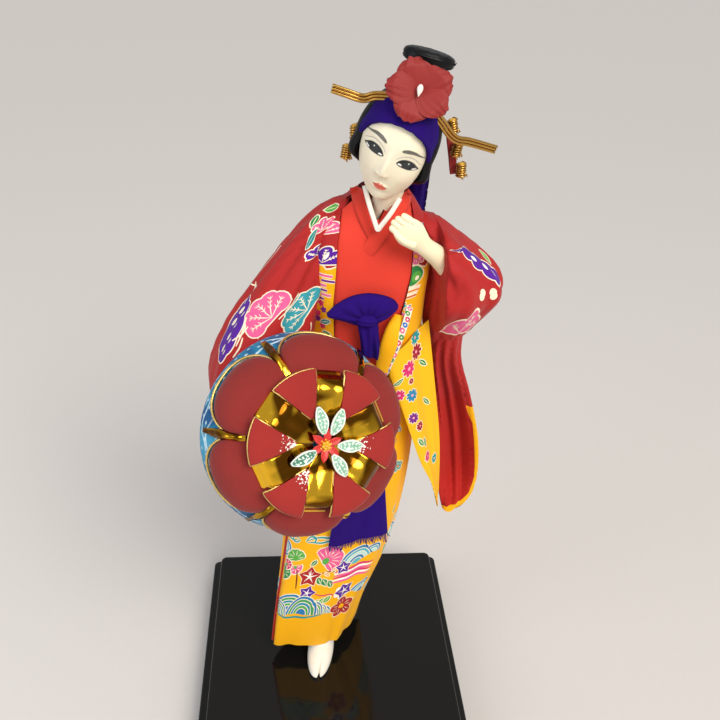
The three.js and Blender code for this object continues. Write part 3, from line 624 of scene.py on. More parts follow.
camera = bpy.data.objects.new("photo_camera", bpy.data.cameras.new("photo_camera"))
right = Vector(stageSettings["right"]).normalized()
up = Vector(stageSettings["up"])
up = (up - right * up.dot(right)).normalized()
turn = Matrix((right, up, right.cross(up))).transposed().to_4x4()
camera.matrix_world = Matrix.Translation(Vector(stageSettings["camera"]) * mm) @ turn
camera.data.lens = stageSettings["lens"]
camera.data.sensor_width = 36
camera.data.clip_start = 0.01
camera.data.dof.use_dof = False
here.link(camera)
bpy.context.scene.camera = camera


def addLight(name, kind, strength, colour, place, aim):
    lamp = bpy.data.lights.new(name, kind)
    lamp.energy = strength
    lamp.color = linear(colour)[:3]
    light = bpy.data.objects.new(name, lamp)
    light.location = place
    light.rotation_euler = aim.to_track_quat("-Z", "Y").to_euler()
    here.link(light)
    return lamp


softboxes = [
    # name, place in mm, size in mm, power in watts, colour
    ("key_softbox", (430, -560, 820), (420, 420), 2.6, "#FFF6EA"),
    ("fill_softbox", (-620, -360, 460), (380, 520), 1.6, "#EEF3FF"),
]
for name, place, size, power, colour in softboxes:
    place = Vector(place) * mm
    lamp = addLight(name, "AREA", power, colour, place, Vector(stageSettings["aim"]) * mm - place)
    lamp.shape = "RECTANGLE"
    lamp.size = size[0] * mm
    lamp.size_y = size[1] * mm
sun = addLight("broad_light", "SUN", stageSettings["sunStrength"], "#FFFAF2", (0, 0, 0),
               -Vector(stageSettings["sunFrom"]))
sun.angle = rad(stageSettings["sunSpread"])

world = bpy.data.worlds.new("studio")
world.use_nodes = True
bpy.context.scene.world = world
background = world.node_tree.nodes["Background"]
background.inputs["Color"].default_value = linear(stageSettings["room"])
background.inputs["Strength"].default_value = stageSettings["roomStrength"]

paper, tree, shader = newMaterial("studio_paper")
fibre = addNode(tree, "MapRange",
                {"Value": addNode(tree, "TexNoise",
                                  {"Vector": addNode(tree, "TexCoord").outputs["Object"],
                                   "Scale": 1 / (4 * mm), "Detail": 4.0}).outputs["Fac"], "To Min": 0.98,
                 "To Max": 1.01}).outputs[0]
setShader(tree, shader, colour=addNode(tree, "Mix", {"Factor": 1, "A": linear(stageSettings["floor"]),
                                                     "B": fibre}, data_type="RGBA",
                                       blend_type="MULTIPLY").outputs["Result"], roughness=0.8)
sheet = bpy.data.meshes.new("studio_floor")
reach = stageSettings["floorReach"]
sheet.from_pydata([(-reach, -reach, 0), (reach, -reach, 0), (reach, reach, 0), (-reach, reach, 0)], [],
                  [(0, 1, 2, 3)])
sheet.materials.append(paper)
floor = bpy.data.objects.new("studio_floor", sheet)
here.link(floor)
bpy.context.scene.view_settings.view_transform = "Standard"
print("camera, light and floor ready")

# Lacquer base: a plinth, a shadow groove and a raised board with softened edges and corners

baseSettings = {
    "half": 71, "topHalf": 66, "plinth": 13, "groove": 1.8, "inset": 3, "height": 22,   # mm
    "corner": 3.5, "edge": 1.1, "lowEdge": 0.7, "foot": 0.6, "cornerSteps": 8, "edgeSteps": 4,
}
b = baseSettings


def roundedBoards(levels):  # a stack of rounded square outlines, each a height, a half width and a cut corner
    steps = b["cornerSteps"]
    turns = radians(concatenate([linspace(k * 90, k * 90 + 90, steps) for k in range(4)]))
    sides = repeat(array([(1, 1), (-1, 1), (-1, -1), (1, -1)]), steps, axis=0)
    rings = []
    for z, half, cut in levels:
        radius = max(b["corner"] - cut, 0.4)
        x = sides[:, 0] * (half - radius) + radius * cos(turns)
        y = sides[:, 1] * (half - radius) + radius * sin(turns)
        rings.append(stack([x, y, full(len(x), float(z))], -1))
    return concatenate(rings), barFaces(steps * 4, len(rings))


def easedEdge(z, half, edge, upward):  # the levels of a quarter round at the edge of a board
    levels = []
    for a in linspace(0, math.pi / 2, b["edgeSteps"]):
        rise, out = (math.sin(a), math.cos(a)) if upward else (-math.cos(a), math.sin(a))
        levels.append((z - edge + edge * rise if upward else z + edge + edge * rise, half - edge + edge * out,
                       edge * (1 - out)))
    return levels


top = b["plinth"] + b["groove"]
levels = [(0, b["half"] - b["foot"], b["foot"]), (b["foot"], b["half"], 0)]
levels += easedEdge(b["plinth"], b["half"], b["edge"], True)
levels += [(b["plinth"], b["topHalf"] - b["inset"] + 0.3, 0), (top, b["topHalf"] - b["inset"], 0)]
levels += easedEdge(top, b["topHalf"], b["lowEdge"], False)
levels += easedEdge(b["height"], b["topHalf"], b["edge"], True)
boards = makePiece("lacquer_base", *roundedBoards(levels), blackLacquer, "black_lacquer", "base")
boards.data.polygons[-1].use_smooth = False
boards.data.polygons[-2].use_smooth = False
print("base ready")

# Flower hat, built round its own axis: z runs out of the dome, y is up across the brim

hatSettings = {
    "centre": (-18, -45.5, 205.5), "axis": (0.307, -0.852, 0.427),     # mm and a direction
    "radius": 40, "depth": 25, "wall": 1.8, "petals": 6,
    "coverRings": 76, "liningRings": 40, "around": 420,                # points in its mesh
    # mm of cloth round and out from the middle
    "clothTurn": 38, "clothRun": 52,
    "blue": "#1B7CA6", "deepBlue": "#12578C", "paleBlue": "#CFE9F2", "midBlue": "#49A6C9",
}
petalSettings = {"inner": 23.5, "notch": 30, "puff": 3.0, "piping": 0.55, "across": 54, "along": 30}
# the glitter entry lists the wedges that get painted glints (white specks for the foil's glare) near their
# tips
wedgeSettings = {"tip": 10.6, "reach": 24.7, "piping": 0.42, "glitter": (2, 3, 5)}
armSettings = {"angle": 15.4, "half": 5.2, "inner": 3.7, "reach": 25.5, "rolled": 250, "roll": 1.9,
               "straight": 0.72}
leafSettings = {"angles": (93, 54, 347, 295, 196), "dark": (196,), "mint": "#86B79C", "deepMint": "#3F7F67"}
h = hatSettings
hatAxis = Vector(h["axis"]).normalized()
hatUp = (Vector((0, 0, 1)) - hatAxis * hatAxis.z).normalized()
hatBasis = array([hatUp.cross(hatAxis), hatUp, hatAxis])
armStep = 360 / h["petals"]


def inHat(points):
    return asarray(points) @ hatBasis + array(h["centre"])


def domeHeight(r):
    return h["depth"] * (1 - (minimum(r, h["radius"]) / h["radius"]) ** 3) ** 0.75


def offDome(angle, r, lift, beside=0.0):  # stands off the dome along its normal, and to the side of a spoke
    step = 0.2
    inner = clip(minimum(r, h["radius"]) - step, 0, None)
    fall = (domeHeight(inner) - domeHeight(inner + step)) / step
    long = hypot(1, fall)
    out = r + lift * fall / long
    x = cos(angle) * out - sin(angle) * beside
    y = sin(angle) * out + cos(angle) * beside
    return inHat(stack([x, y, domeHeight(r) + lift / long], -1))


# Shell: printed cotton outside, a bound rim, and a red lining inside
around, rings = h["around"], h["coverRings"]
share = concatenate([linspace(0, 0.55, 12), linspace(0.56, 1, rings - 12)])
turns = turnsOf(around)
turn, out = [grid.ravel() for grid in meshgrid(turns, sin(share * math.pi / 2))]
lip = [offDome(turns, full(around, h["radius"] - 0.02), full(around, d)) - array(hatAxis) * k
       for d, k in ((0.1, 0.35), (-0.35, 0.7), (-1.2, 0.7), (-1.7, 0.3))]
inShare = linspace(1, 0.02, h["liningRings"])
inTurn, inOut = [grid.ravel() for grid in meshgrid(turns, sin(inShare * math.pi / 2))]
reach = inOut * (h["radius"] - h["wall"])
lining = stack([cos(inTurn) * reach, sin(inTurn) * reach,
                domeHeight(h["radius"] * inOut) * (1 - h["wall"] / h["depth"])], -1)
points = concatenate([offDome(turn, out * h["radius"], zeros(turn.size)), *lip, inHat(lining)])
count = rings + len(lip) + h["liningRings"]
run, along = tile(turns * 34, rings), repeat(share * h["clothRun"], around)
patch = ripple(stack([cos(turn) * out, sin(turn) * out, 0 * turn], -1) * h["radius"], 9, 3)
front = paintOver(dyed(len(run), h["blue"]), smoothStep(0.05, 0.25, patch), h["deepBlue"])
front = paintOver(front, smoothStep(0.1, 0.3, -patch) * 0.7, h["midBlue"])
for k in range(9):  # wave strokes: broken pale lines that rise and fall round the hat, with dots between them
    level = 20 + k * 3.7
    line = level + 1.5 * sin(run / 4.1 + k * 2.3) + 0.9 * sin(run / 1.9 + k)
    broken = smoothStep(-0.1, 0.15, sin(run / 6.3 + k * 1.7) + 0.4 * sin(run / 2.7 + k))
    front = paintOver(front, (1 - smoothStep(0.3, 0.62, np.abs(along - line))) * broken, h["paleBlue"])
    dots = hypot((run + k * 2.1) % 5.3 - 2.6, along - level - 2.2)
    front = paintOver(front, 1 - smoothStep(0.4, 0.75, dots), h["paleBlue"])
flat = stack([tile(turns * h["clothTurn"], count),
              concatenate([along, repeat([52.5, 53, 54, 55], around),
                           repeat(inShare * h["clothRun"], around)])], -1)
makePiece("hat_shell_cover", points, gridFaces(around, count, True), [hatPrint, redLining], "wave_print",
          "hat_shell", flat, concatenate([front, dyed(len(points) - len(run), h["blue"])]),
          parts=repeat(arange(count - 1) >= rings + 3, around))


def petalEdge(side, inset):
    return petalSettings["notch"] \
        + (h["radius"] - inset - petalSettings["notch"]) * sqrt(1 - minimum(1, side) ** 3)


# Petals: padded felt lobes whose edges turn under, with a gold cord sewn along the outer edge
across, along = petalSettings["across"], petalSettings["along"]
s, t = spotsOf(across, along)
side = np.abs(s - 0.5) * 2
r = petalSettings["inner"] + (petalEdge(side, 1.6) - petalSettings["inner"]) * t
fromRim, fromSide = minimum(1, (1 - t) / 0.2), minimum(1, (1 - side) / 0.11)
rounded = sqrt(1 - (1 - fromRim) ** 2) * sqrt(1 - (1 - fromSide) ** 2)
puff = petalSettings["puff"] * sin(math.pi * minimum(1, t ** 1.5)) * (1 - side ** 4)
face = gridFaces(across, along)
rim = concatenate([arange(across), arange(1, along) * across + across - 1,
                   arange(across - 2, -1, -1) + across * (along - 1),
                   arange(along - 2, 0, -1) * across])
nextRim = np.roll(rim, -1)
walls = stack([rim, rim + len(s), nextRim + len(s), nextRim], -1)
faces = concatenate([face[:, ::-1], face + len(s), walls[:, ::-1]])
cord = linspace(0.015, 0.985, 70)
cordSide = np.abs(cord - 0.5) * 2
for k in range(h["petals"]):
    angle = rad(armSettings["angle"] + armStep * k)
    turn = angle + (s - 0.5) * rad(armStep - 2.2)
    lift = 0.35 + (1.7 + puff) * rounded
    lift = lift + 0.35 * rounded * ripple(offDome(turn, r, lift), 7, k)
    points = concatenate([offDome(turn, r, lift), offDome(turn, r, full(r.size, 0.15))])
    petal = makePiece(f"felt_petal_{k + 1}", points, faces, redFelt, "red_felt", f"hat_petal_{k + 1}")
    line = offDome(angle + (cord - 0.5) * rad(armStep - 1.5), petalEdge(cordSide, 1.0),
                   0.5 + 0.25 * (1 - cordSide ** 4))
    makePiece(f"petal_piping_{k + 1}", *tube(line, petalSettings["piping"], 7), goldCord, "gold_wire")

# Wedges: stiff felt over card, standing clear of the petals at their outer edge
for k in range(h["petals"]):
    angle, half = rad(armSettings["angle"] + armStep * (k + 0.5)), rad(armStep / 2)

    def wedge(s, t, grow=0.0):
        r = wedgeSettings["tip"] + (wedgeSettings["reach"] - wedgeSettings["tip"]) * t
        side = maximum(0.3, r * math.tan(half) - (armSettings["half"] - 0.2) / math.cos(half)) + grow
        y = (s - 0.5) * 2 * side
        crown = 1.5 * t * (1 - ((s - 0.5) * 2) ** 2)
        roll = 0.9 * smoothStep(0.86, 1.02, t)
        return offDome(angle, r - y * y * 0.012, 3.0 + 3.6 * t ** 1.2 + crown - roll, y)

    # painted glare: white specks near the tips of some wedges stand for the foil's glints on the felt
    paintedFoilGlare = (1 - smoothStep(0.1, 0.5, spotsOf(26, 26)[1])) * (0.6 if k in wedgeSettings["glitter"] else 0.0)
    slabPiece(f"felt_wedge_{k + 1}", wedge, (26, 26), 1.0, None, brightFelt, "red_felt", f"hat_wedge_{k + 1}",
              stack([paintedFoilGlare, paintedFoilGlare, paintedFoilGlare, ones(len(paintedFoilGlare))], -1))
    # gold piping up one side, round the outer edge and down the other
    steps = linspace(0, 1, 30)
    line = concatenate([wedge(zeros(30), steps, 0.3),
                        wedge(linspace(0, 1, 22)[1:-1], full(20, 1.01), 0.3),
                        wedge(ones(30), steps[::-1], 0.3)])
    makePiece(f"wedge_piping_{k + 1}", *tube(line, wedgeSettings["piping"], 7), goldCord, "gold_wire")

# Foil arms: mirror film folded over card, each with a rolled outer end and lengthwise creases
for k in range(h["petals"]):
    angle = rad(armSettings["angle"] + armStep * k)
    notch = angle + rad(armStep / 2)

    def foilArm(s, t):
        run = minimum(t / armSettings["straight"], 1)
        r = armSettings["inner"] + (armSettings["reach"] - 1.8 - armSettings["inner"]) * run
        lift = 1.7 + 3.2 * sin(math.pi * run ** 2.6) + 1.6 * run ** 3
        # the film turns over and back under itself
        bend = (t - armSettings["straight"]) / (1 - armSettings["straight"])
        roll = clip(bend, 0, 1) * rad(armSettings["rolled"])
        r = r + armSettings["roll"] * sin(roll)
        lift = lift - armSettings["roll"] * (1 - cos(roll)) * 0.9
        width = minimum(armSettings["half"], (armSettings["inner"] + 21.8 * run) * math.tan(rad(armStep / 2))
                        - 0.2)
        crease = 0.30 * np.abs(sin((s - 0.5) * 6 + k)) * sin(math.pi * run) \
            + 0.16 * sin(run * 11 + 3 * s + k * 2) * (1 - run * 0.6)
        return offDome(angle, r, lift + crease, (s - 0.5) * 2 * width)

    def notchWrap(s, t):  # film wrapped over the brim's edge in the notch between two petals
        y = (s - 0.5) * 2 * (1.9 - 0.7 * t + 0.25 * sin(9 * t + k))
        hump = 2.4 * sin(math.pi * minimum(1, t * 1.15)) * (1 - ((s - 0.5) * 2) ** 2 * 0.7)
        return offDome(notch, 26.5 + 12.4 * t, 0.9 + hump * (1 - 0.3 * t) + 0.1 * sin(30 * t + 3 * s), y)

    slabPiece(f"foil_arm_{k + 1}", foilArm, (15, 60), 0.25, (10, 31), goldFoil, "gold_foil",
              f"hat_foil_{k + 1}", shift=37 * k)
    slabPiece(f"notch_wrap_{k + 1}", notchWrap, (9, 26), 0.3, (3, 13), goldFoil, "gold_foil", shift=23 * k)

# Leaves: mint felt ovals with a white edge and dotted veins
s, t = spotsOf(21, 37)
side = np.abs(s - 0.5) * 2
rimmed = maximum(smoothStep(0.72, 0.9, side), smoothStep(0.86, 0.96, np.abs(t - 0.5) * 2))
dots = smoothStep(0.25, 0.75, cos(t * 46)) * (1 - smoothStep(0.07, 0.2, np.abs(side - 0.36)))
for k, degreesAt in enumerate(leafSettings["angles"]):

    def leafSurface(s, t):
        y = (s - 0.5) * 2 * 2.5 * sin(math.pi * (0.06 + 0.88 * t)) ** 0.8
        cup = 0.5 * ((s - 0.5) * 2) ** 2
        return offDome(rad(degreesAt), 4.2 + 9.6 * t, 4.9 + 0.8 * sin(math.pi * t) + cup, y)

    ground = leafSettings["deepMint"] if degreesAt in leafSettings["dark"] else leafSettings["mint"]
    dyes = paintOver(paintOver(dyed(len(s), ground), rimmed, "#EEF4EA"), dots, "#F6FAF2")
    slabPiece(f"glitter_leaf_{k + 1}", leafSurface, (21, 37), 0.6, None, paleLeaf, "pale_leaf",
              f"hat_leaf_{k + 1}", dyes)

# Middle: pointed red paper petals round a cluster of amber beads
shapes = []
for k in range(6):
    angle = rad(60 * k + 12)

    def pointed(s, t):
        y = (s - 0.5) * 2 * 1.5 * sin(math.pi * (0.15 + 0.83 * t)) ** 0.9
        return offDome(angle, 1.2 + 5.2 * t, 4.0 + 1.6 * t - 1.1 * t * t + 0.5 * np.abs(s - 0.5), y)

    shapes.append(slab(pointed, 9, 14, 0.35))
makePiece("paper_petals", *together(*shapes), redPaper, "bead_cluster")
beads = []
for ring, count, height in ((0, 1, 5.6), (1.15, 6, 5.1), (2.15, 9, 4.1)):
    for turn in turnsOf(count) + ring:
        place = inHat((ring * math.cos(turn), ring * math.sin(turn), h["depth"] + height))
        beads.append(ball(place, full(3, 0.72), 12, 8))
makePiece("amber_beads", *together(*beads), amberBead, "bead_cluster", "hat_centre")
print("hat ready")

# Printed cloth. A cloth has a surface of s and t from 0 to 1 and lies flat in its own millimetres:
# u runs across from a chosen line, and v runs along its length. Motifs are outlines in u and v.

class Cloth:
    def __init__(self, surface, middle=0.5, steps=120):
        self.surface = surface
        s, t = meshgrid(linspace(0, 1, steps), linspace(0, 1, steps))
        self.grid = surface(s, t)
        gaps = np.linalg.norm(diff(self.grid, axis=1), axis=-1)
        run = concatenate([zeros((steps, 1)), cumsum(gaps, axis=1)], axis=1)
        place = middle * (steps - 1)
        i = min(int(place), steps - 2)
        zero = run[:, i] + (run[:, i + 1] - run[:, i]) * (place - i)
        self.low, self.high = -zero, run[:, -1] - zero
        fall = np.linalg.norm(diff(self.grid[:, i], axis=0), axis=-1)
        self.v = concatenate([[0], cumsum(fall)])
        share = linspace(0, 1, steps)
        self.byShare = stack([interp(share * run[j, -1], run[j], share) for j in range(steps)])
        self.steps = steps

    def outline(self, every):
        v = linspace(0, self.v[-1], max(int(self.v[-1] / every), 8))
        left, right = [stack([interp(v, self.v, side), v], -1) for side in (self.low, self.high)]
        ends = []
        for k in (0, -1):
            wide = max(int((self.high[k] - self.low[k]) / every), 4)
            ends.append(stack([linspace(self.low[k], self.high[k], wide), full(wide, self.v[k])], -1)[1:-1])
        return concatenate([ends[0], right, ends[1][::-1], left[::-1]])

    def st(self, flat):  # where a flat point lies on the surface
        last = self.steps - 1
        j = interp(flat[:, 1], self.v, arange(self.steps))
        low, high = [interp(j, arange(self.steps), side) for side in (self.low, self.high)]
        k = clip((flat[:, 0] - low) / maximum(high - low, 1e-6), 0, 1) * last
        j0, k0 = minimum(j.astype(int), last - 1), minimum(k.astype(int), last - 1)
        fj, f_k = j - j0, k - k0
        table = self.byShare
        s = (table[j0, k0] * (1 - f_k) + table[j0, k0 + 1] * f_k) * (1 - fj) \
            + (table[j0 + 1, k0] * (1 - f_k) + table[j0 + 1, k0 + 1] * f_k) * fj
        return s, j / last


def insideOf(points, outline):  # which points lie in a closed outline
    x, y = points[:, 0], points[:, 1]
    inside = zeros(len(points), bool)
    for (x1, y1), (x2, y2) in zip(outline, np.roll(outline, -1, 0)):
        if y1 != y2:
            inside ^= (y > min(y1, y2)) & (y <= max(y1, y2)) & (x < (x2 - x1) * (y - y1) / (y2 - y1) + x1)
    return inside


def turnedLeft(outline):  # the same outline, run anticlockwise
    x, y = outline[:, 0], outline[:, 1]
    area = np.sum(x * np.roll(y, -1) - np.roll(x, -1) * y)
    return outline if area > 0 else outline[::-1]


def shortSided(outline, longest):
    # the same outline, its long sides divided so that it follows a curved cloth
    out = []
    for a, b in zip(outline, np.roll(outline, -1, 0)):
        count = max(1, math.ceil(float(hypot(*(b - a))) / longest))
        out += [a + (b - a) * k / count for k in range(count)]
    return array(out)


ink = {
    "cream": "#FBEFD2", "white": "#FDF8EC", "yellow": "#FFB80C", "red": "#B22624", "pink": "#F0649A",
    "palePink": "#F7A9C0", "rose": "#D92F6E", "purple": "#5A1E9C", "plum": "#7B2A8C", "blue": "#1F6FC4",
    "teal": "#169A9C", "green": "#2F8F4A", "leaf": "#5DB24B", "brown": "#7A3B1E", "orange": "#F2862A",
    "darkRed": "#A11B2B", "paleTeal": "#3AA0AE", "backRed": "#B9241C", "crepeRed": "#E2402F",
    "crepePurple": "#24006E", "panelYellow": "#FFC012",
}


def inked(dye):  # a dye by its name above, or by its own number
    return array(linear(ink.get(dye, dye)))


def flatMesh(edge, polygons, step):
    # triangles between the outlines and an even grid of points, each with the last outline that it lies in
    low, high = edge.min(0), edge.max(0)
    xs, ys = [arange(low[k] + step / 2, high[k], step) for k in (0, 1)]
    grid = stack(meshgrid(xs, ys), -1).reshape(-1, 2)
    grid[:, 0] += tile(arange(len(ys))[:, None] % 2 * step / 2, (1, len(xs))).ravel()
    grid = grid[insideOf(grid, edge * 0.999 + (low + high) / 2 * 0.001)]
    faces, start = [], 0
    for polygon in polygons:
        faces.append(list(range(start, start + len(polygon))))
        start += len(polygon)
    points = [Vector(p) for p in concatenate([*polygons, grid])]
    flat, _, tris, _, _, owners = delaunay_2d_cdt(points, [], faces, 0, 1e-4)
    keep = [k for k, own in enumerate(owners) if 0 in own]
    used, tris = np.unique(array([tris[k] for k in keep]), return_inverse=True)
    tris = tris.reshape(-1, 3)
    flat = array([tuple(p) for p in flat])[used]
    a, b, c = flat[tris[:, 0]], flat[tris[:, 1]], flat[tris[:, 2]]
    turn = (b - a)[:, 0] * (c - a)[:, 1] - (b - a)[:, 1] * (c - a)[:, 0]
    tris[turn < 0] = tris[turn < 0][:, ::-1]
    owner = array([max(owners[k]) for k in keep])
    return flat, tris[np.abs(turn) > 1e-7], owner[np.abs(turn) > 1e-7]


def printedPiece(name, cloth, motifs, ground, back, slot, material, step=2.0, thick=0.5, node=None):
    # cuts the flat cloth along every motif's outline, dyes each part, and lays it on the surface;
    # the underside has one dye, or with back None the same print
    edge = cloth.outline(step)
    low, high = edge.min(0), edge.max(0)
    polygons = [shortSided(turnedLeft(p), step * 0.7) for p in [edge]
                + [asarray(m[0], float) for m in motifs]]
    flat, tris, owner = flatMesh(edge, polygons, step)
    dyes = array([inked(ground)] + [inked(m[1]) for m in motifs])[owner]
    s, t = cloth.st(flat)
    top = cloth.surface(s, t)
    normals = outward(cloth.surface, clip(s, 0.003, 0.997), clip(t, 0.003, 0.997))
    # where a fold is too sharp for the surface's own normal, the mesh's is used
    built = np.zeros_like(top)
    for k in range(3):
        sides = top[tris[:, 1]] - top[tris[:, 0]], top[tris[:, 2]] - top[tris[:, 0]]
        np.add.at(built, tris[:, k], cross(*sides))
    built = unit(built)
    normals = np.where((normals * built).sum(-1, keepdims=True) < 0.75, built, normals)
    count = len(top)
    directed = concatenate([tris[:, [0, 1]], tris[:, [1, 2]], tris[:, [2, 0]]])
    _, first, times = np.unique(np.sort(directed, axis=1), axis=0, return_index=True, return_counts=True)
    rim = directed[first[times == 1]]
    rims = concatenate([stack([rim[:, 0], rim[:, 1] + count, rim[:, 1]], -1)[:, ::-1],
                        stack([rim[:, 0], rim[:, 0] + count, rim[:, 1] + count], -1)[:, ::-1]])
    backDyes = tile(inked(back), (len(tris), 1)) if back else dyes
    rimDyes = tile(inked(back or ground), (len(rims), 1))
    uv = (flat - low) / maximum(high - low, 1e-6) * (0.48, 0.98) + 0.01
    return makePiece(name, concatenate([top, top - normals * thick]),
                     concatenate([tris, tris[:, ::-1] + count, rims]), material, slot, node, flat,
                     concatenate([dyes, backDyes, rimDyes]), concatenate([normals, -normals]),
                     concatenate([uv, uv + (0.5, 0)]))


# Motifs, each a list of outlines with their dyes, back to front, round (0, 0) and in millimetres

def circle(x, y, r, count=18):
    a = turnsOf(count)
    return stack([x + r * cos(a), y + r * sin(a)], -1)


def lobed(r, lobes, depth):
    a = linspace(0, 2 * math.pi, lobes * 9, endpoint=False)
    reach = r * (1 - depth + depth * np.abs(sin(a * lobes / 2)) ** 0.7)
    return stack([reach * cos(a), reach * sin(a)], -1)


def stroke(points, width, tip=0.3):  # a line drawn with a brush: widest in the middle
    line = asarray(points, float)
    ahead = gradient(line, axis=0)
    side = stack([-ahead[:, 1], ahead[:, 0]], -1)
    side /= maximum(np.linalg.norm(side, axis=1, keepdims=True), 1e-9)
    half = (width / 2 * (tip + (1 - tip) * sin(math.pi * linspace(0, 1, len(line)))))[:, None]
    return concatenate([line + side * half, (line - side * half)[::-1]])


def brushed(dye, points, count, width, tip=0.3):
    return [(stroke(curve(points, count), width, tip), dye)]


def placed(motif, x, y, turn=0.0, size=1.0, tall=1.0):  # tall stretches it along the cloth
    c, s = math.cos(rad(turn)), math.sin(rad(turn))
    out = []
    for outline, dye in motif:
        p = asarray(outline, float) * size
        out.append((stack([x + p[:, 0] * c - p[:, 1] * s, y + (p[:, 0] * s + p[:, 1] * c) * tall], -1), dye))
    return out


def laidOut(rows, x=0, y=0, tall=1.0):
    # each row is a motif, its place, and its turn, size and stretch if any
    out = []
    for motif, right, up, *rest in rows:
        turn, size, stretch = (*rest, *(0, 1, 1)[len(rest):])
        out += placed(motif, x + right, y + up, turn, size, tall * stretch)
    return out


def pineClump(dye, lobes, size):
    # a pine cloud: round lobes on a flat foot, edged in cream, with ribs that fan from the foot
    angles = [math.pi * (k + 0.5) / lobes for k in range(lobes)]
    r = size * 0.42
    out = []
    for grow, colour in ((0.55, "cream"), (0.0, dye)):
        for a in angles:
            out.append((circle(math.cos(a) * size * 0.72, math.sin(a) * size * 0.62, r + grow, 16), colour))
        out.append((array([(-size * 0.95 - grow, -size * 0.16 - grow),
                           (size * 0.95 + grow, -size * 0.16 - grow),
                           (size * 0.8 + grow, size * 0.5), (0, size * 0.8),
                           (-size * 0.8 - grow, size * 0.5)]), colour))
    for a in angles:
        tip = (math.cos(a) * size * 0.95, math.sin(a) * size * 0.86)
        out += brushed("cream", [(0, -size * 0.05), (tip[0] * 0.5, tip[1] * 0.45), tip], 8, 0.5)
        for m in (0.45, 0.65, 0.85):
            for b in (a - 0.75, a + 0.75):
                x, y = tip[0] * m, tip[1] * m
                end = (x + math.cos(b) * size * 0.17, y + math.sin(b) * size * 0.17)
                out.append((stroke([(x, y), ((x + end[0]) / 2, (y + end[1]) / 2), end], 0.42), "cream"))
    return out


def dropClump(dye, length, width, drops):
    # a long scalloped cloud with a row of pale drops
    a = linspace(0, 2 * math.pi, 72, endpoint=False)
    wave = 1 + 0.09 * np.abs(sin(a * 4.5)) - 0.05
    out = [(stack([cos(a) * (width / 2 * wave + grow), sin(a) * (length / 2 * wave + grow)], -1), colour)
           for grow, colour in ((0.55, "cream"), (0, dye))]
    for k in range(drops):
        x, y = 0.8 * math.sin(k * 2.1), (k + 0.5) / drops * length * 0.8 - length * 0.4
        out += brushed("cream", [(x - 0.9, y - 2.0), (x, y), (x + 0.6, y + 2.2)], 7, 1.7, 0.1)
        out += brushed("cream", [(x + 1.9, y - 1.6), (x + 2.4, y), (x + 2.6, y + 1.4)], 6, 0.6, 0.1)
    return out


def rays(angles, shares, r, width):  # thin cream lines out from the middle
    return [(stroke([(math.cos(a) * r * q, math.sin(a) * r * q) for q in shares], width), "cream")
            for a in angles]


def blossom(dye, r, heart="yellow", petals=5):
    # a notched flower with a pale edge, radial hairs and a dotted heart
    angles = [2 * math.pi * (k + 0.5) / petals + off for k in range(petals) for off in (-0.22, 0.22)]
    return [(lobed(r + 0.45, petals, 0.34), "cream"), (lobed(r, petals, 0.36), dye),
            *rays(angles, (0.34, 0.55, 0.76), r, 0.34), (circle(0, 0, r * 0.24, 10), heart)]


def starFlower(dye, r):  # a five-pointed bellflower with a pale star inside
    a = turnsOf(10) + math.pi / 2
    star, thin = [stack([cos(a) * reach, sin(a) * reach], -1)
                  for reach in (tile((1.0, 0.62), 5), tile((0.72, 0.13), 5))]
    return [(star * (r + 0.5), "cream"), (star * r, dye), (thin * r, "white")]


def fanFlower(dye, r, stripes):
    # a half-round carnation: a scalloped fan with radial stripes on a green calyx
    a = linspace(rad(-18), rad(198), 46)
    edge = 1 + 0.07 * np.abs(sin(linspace(0, math.pi * 6, 46)))
    fan = stack([cos(a) * r * edge, sin(a) * r * edge], -1)
    angles = [rad(-8 + 196 * k / (stripes - 1)) for k in range(stripes)]
    return [(concatenate([fan * (1 + 0.5 / r), [(0, -r * 0.42)]]), "cream"),
            (concatenate([fan, [(0, -r * 0.32)]]), dye),
            *rays(angles, (0.3, 0.6, 0.93), r, 0.42), (circle(0, -r * 0.12, r * 0.26, 12), "leaf")]


def leaf(dye, length, width):
    t = linspace(0, 1, 12)
    half = width / 2 * sin(math.pi * t) ** 0.8
    out = []
    for x, y, colour in ((t * (length + 0.8) - 0.4, half + 0.35, "cream"), (t * length, half, dye)):
        out.append((concatenate([stack([x, y], -1), stack([x, -y], -1)[::-1][1:-1]]), colour))
    vein = stack([linspace(0.1, 0.85, 6) * length, zeros(6)], -1)
    return out + [(stroke(vein, 0.36), "cream")]


def sprig(dye, stemDye, leaves, length):
    # a bent twig with leaves to each side
    line = curve([(0, 0), (length * 0.4, length * 0.08), (length * 0.75, -length * 0.02),
                  (length, length * 0.1)])
    out = [(stroke(line, 0.7, 0.6), stemDye)]
    for k in range(leaves):
        x, y = line[int((k + 1) / (leaves + 1) * 13)]
        out += placed(leaf(dye, length * 0.3, length * 0.11), x, y, 52 if k % 2 else -48)
    return out


def waveArcs(dyes, r, rings, start=0.0, sweep=180.0):
    # concentric arcs of water, outermost first
    a = radians(linspace(start, start + sweep, 22))
    out = []
    for k in range(rings):
        big = r * (1 - k / rings * 0.86)
        shape = stack([cos(a) * big, sin(a) * big], -1)
        out.append((concatenate([shape * (1 + 0.38 / big), [(0, 0)]]), "cream"))
        out.append((concatenate([shape, [(0, 0)]]), dyes[k % len(dyes)]))
    return out


def scroll(dye, length, wide):
    # water: a curled line that runs out into two parallel ones
    a = linspace(0, 4.3, 18)
    curl = stack([-cos(a) * (2.6 - 0.38 * a), sin(a) * (2.6 - 0.38 * a)], -1)[::-1]
    out = []
    for width, colour in ((wide + 0.8, "cream"), (wide, dye)):
        out.append((stroke(curl, width, 0.6), colour))
        for k in (-1.2, 1.4):
            line = [(-2.4, k * 0.3), (length * 0.3, k), (length * 0.65, k * 0.6), (length, k * 1.1)]
            out += brushed(colour, line, 12, width, 0.35)
    return out


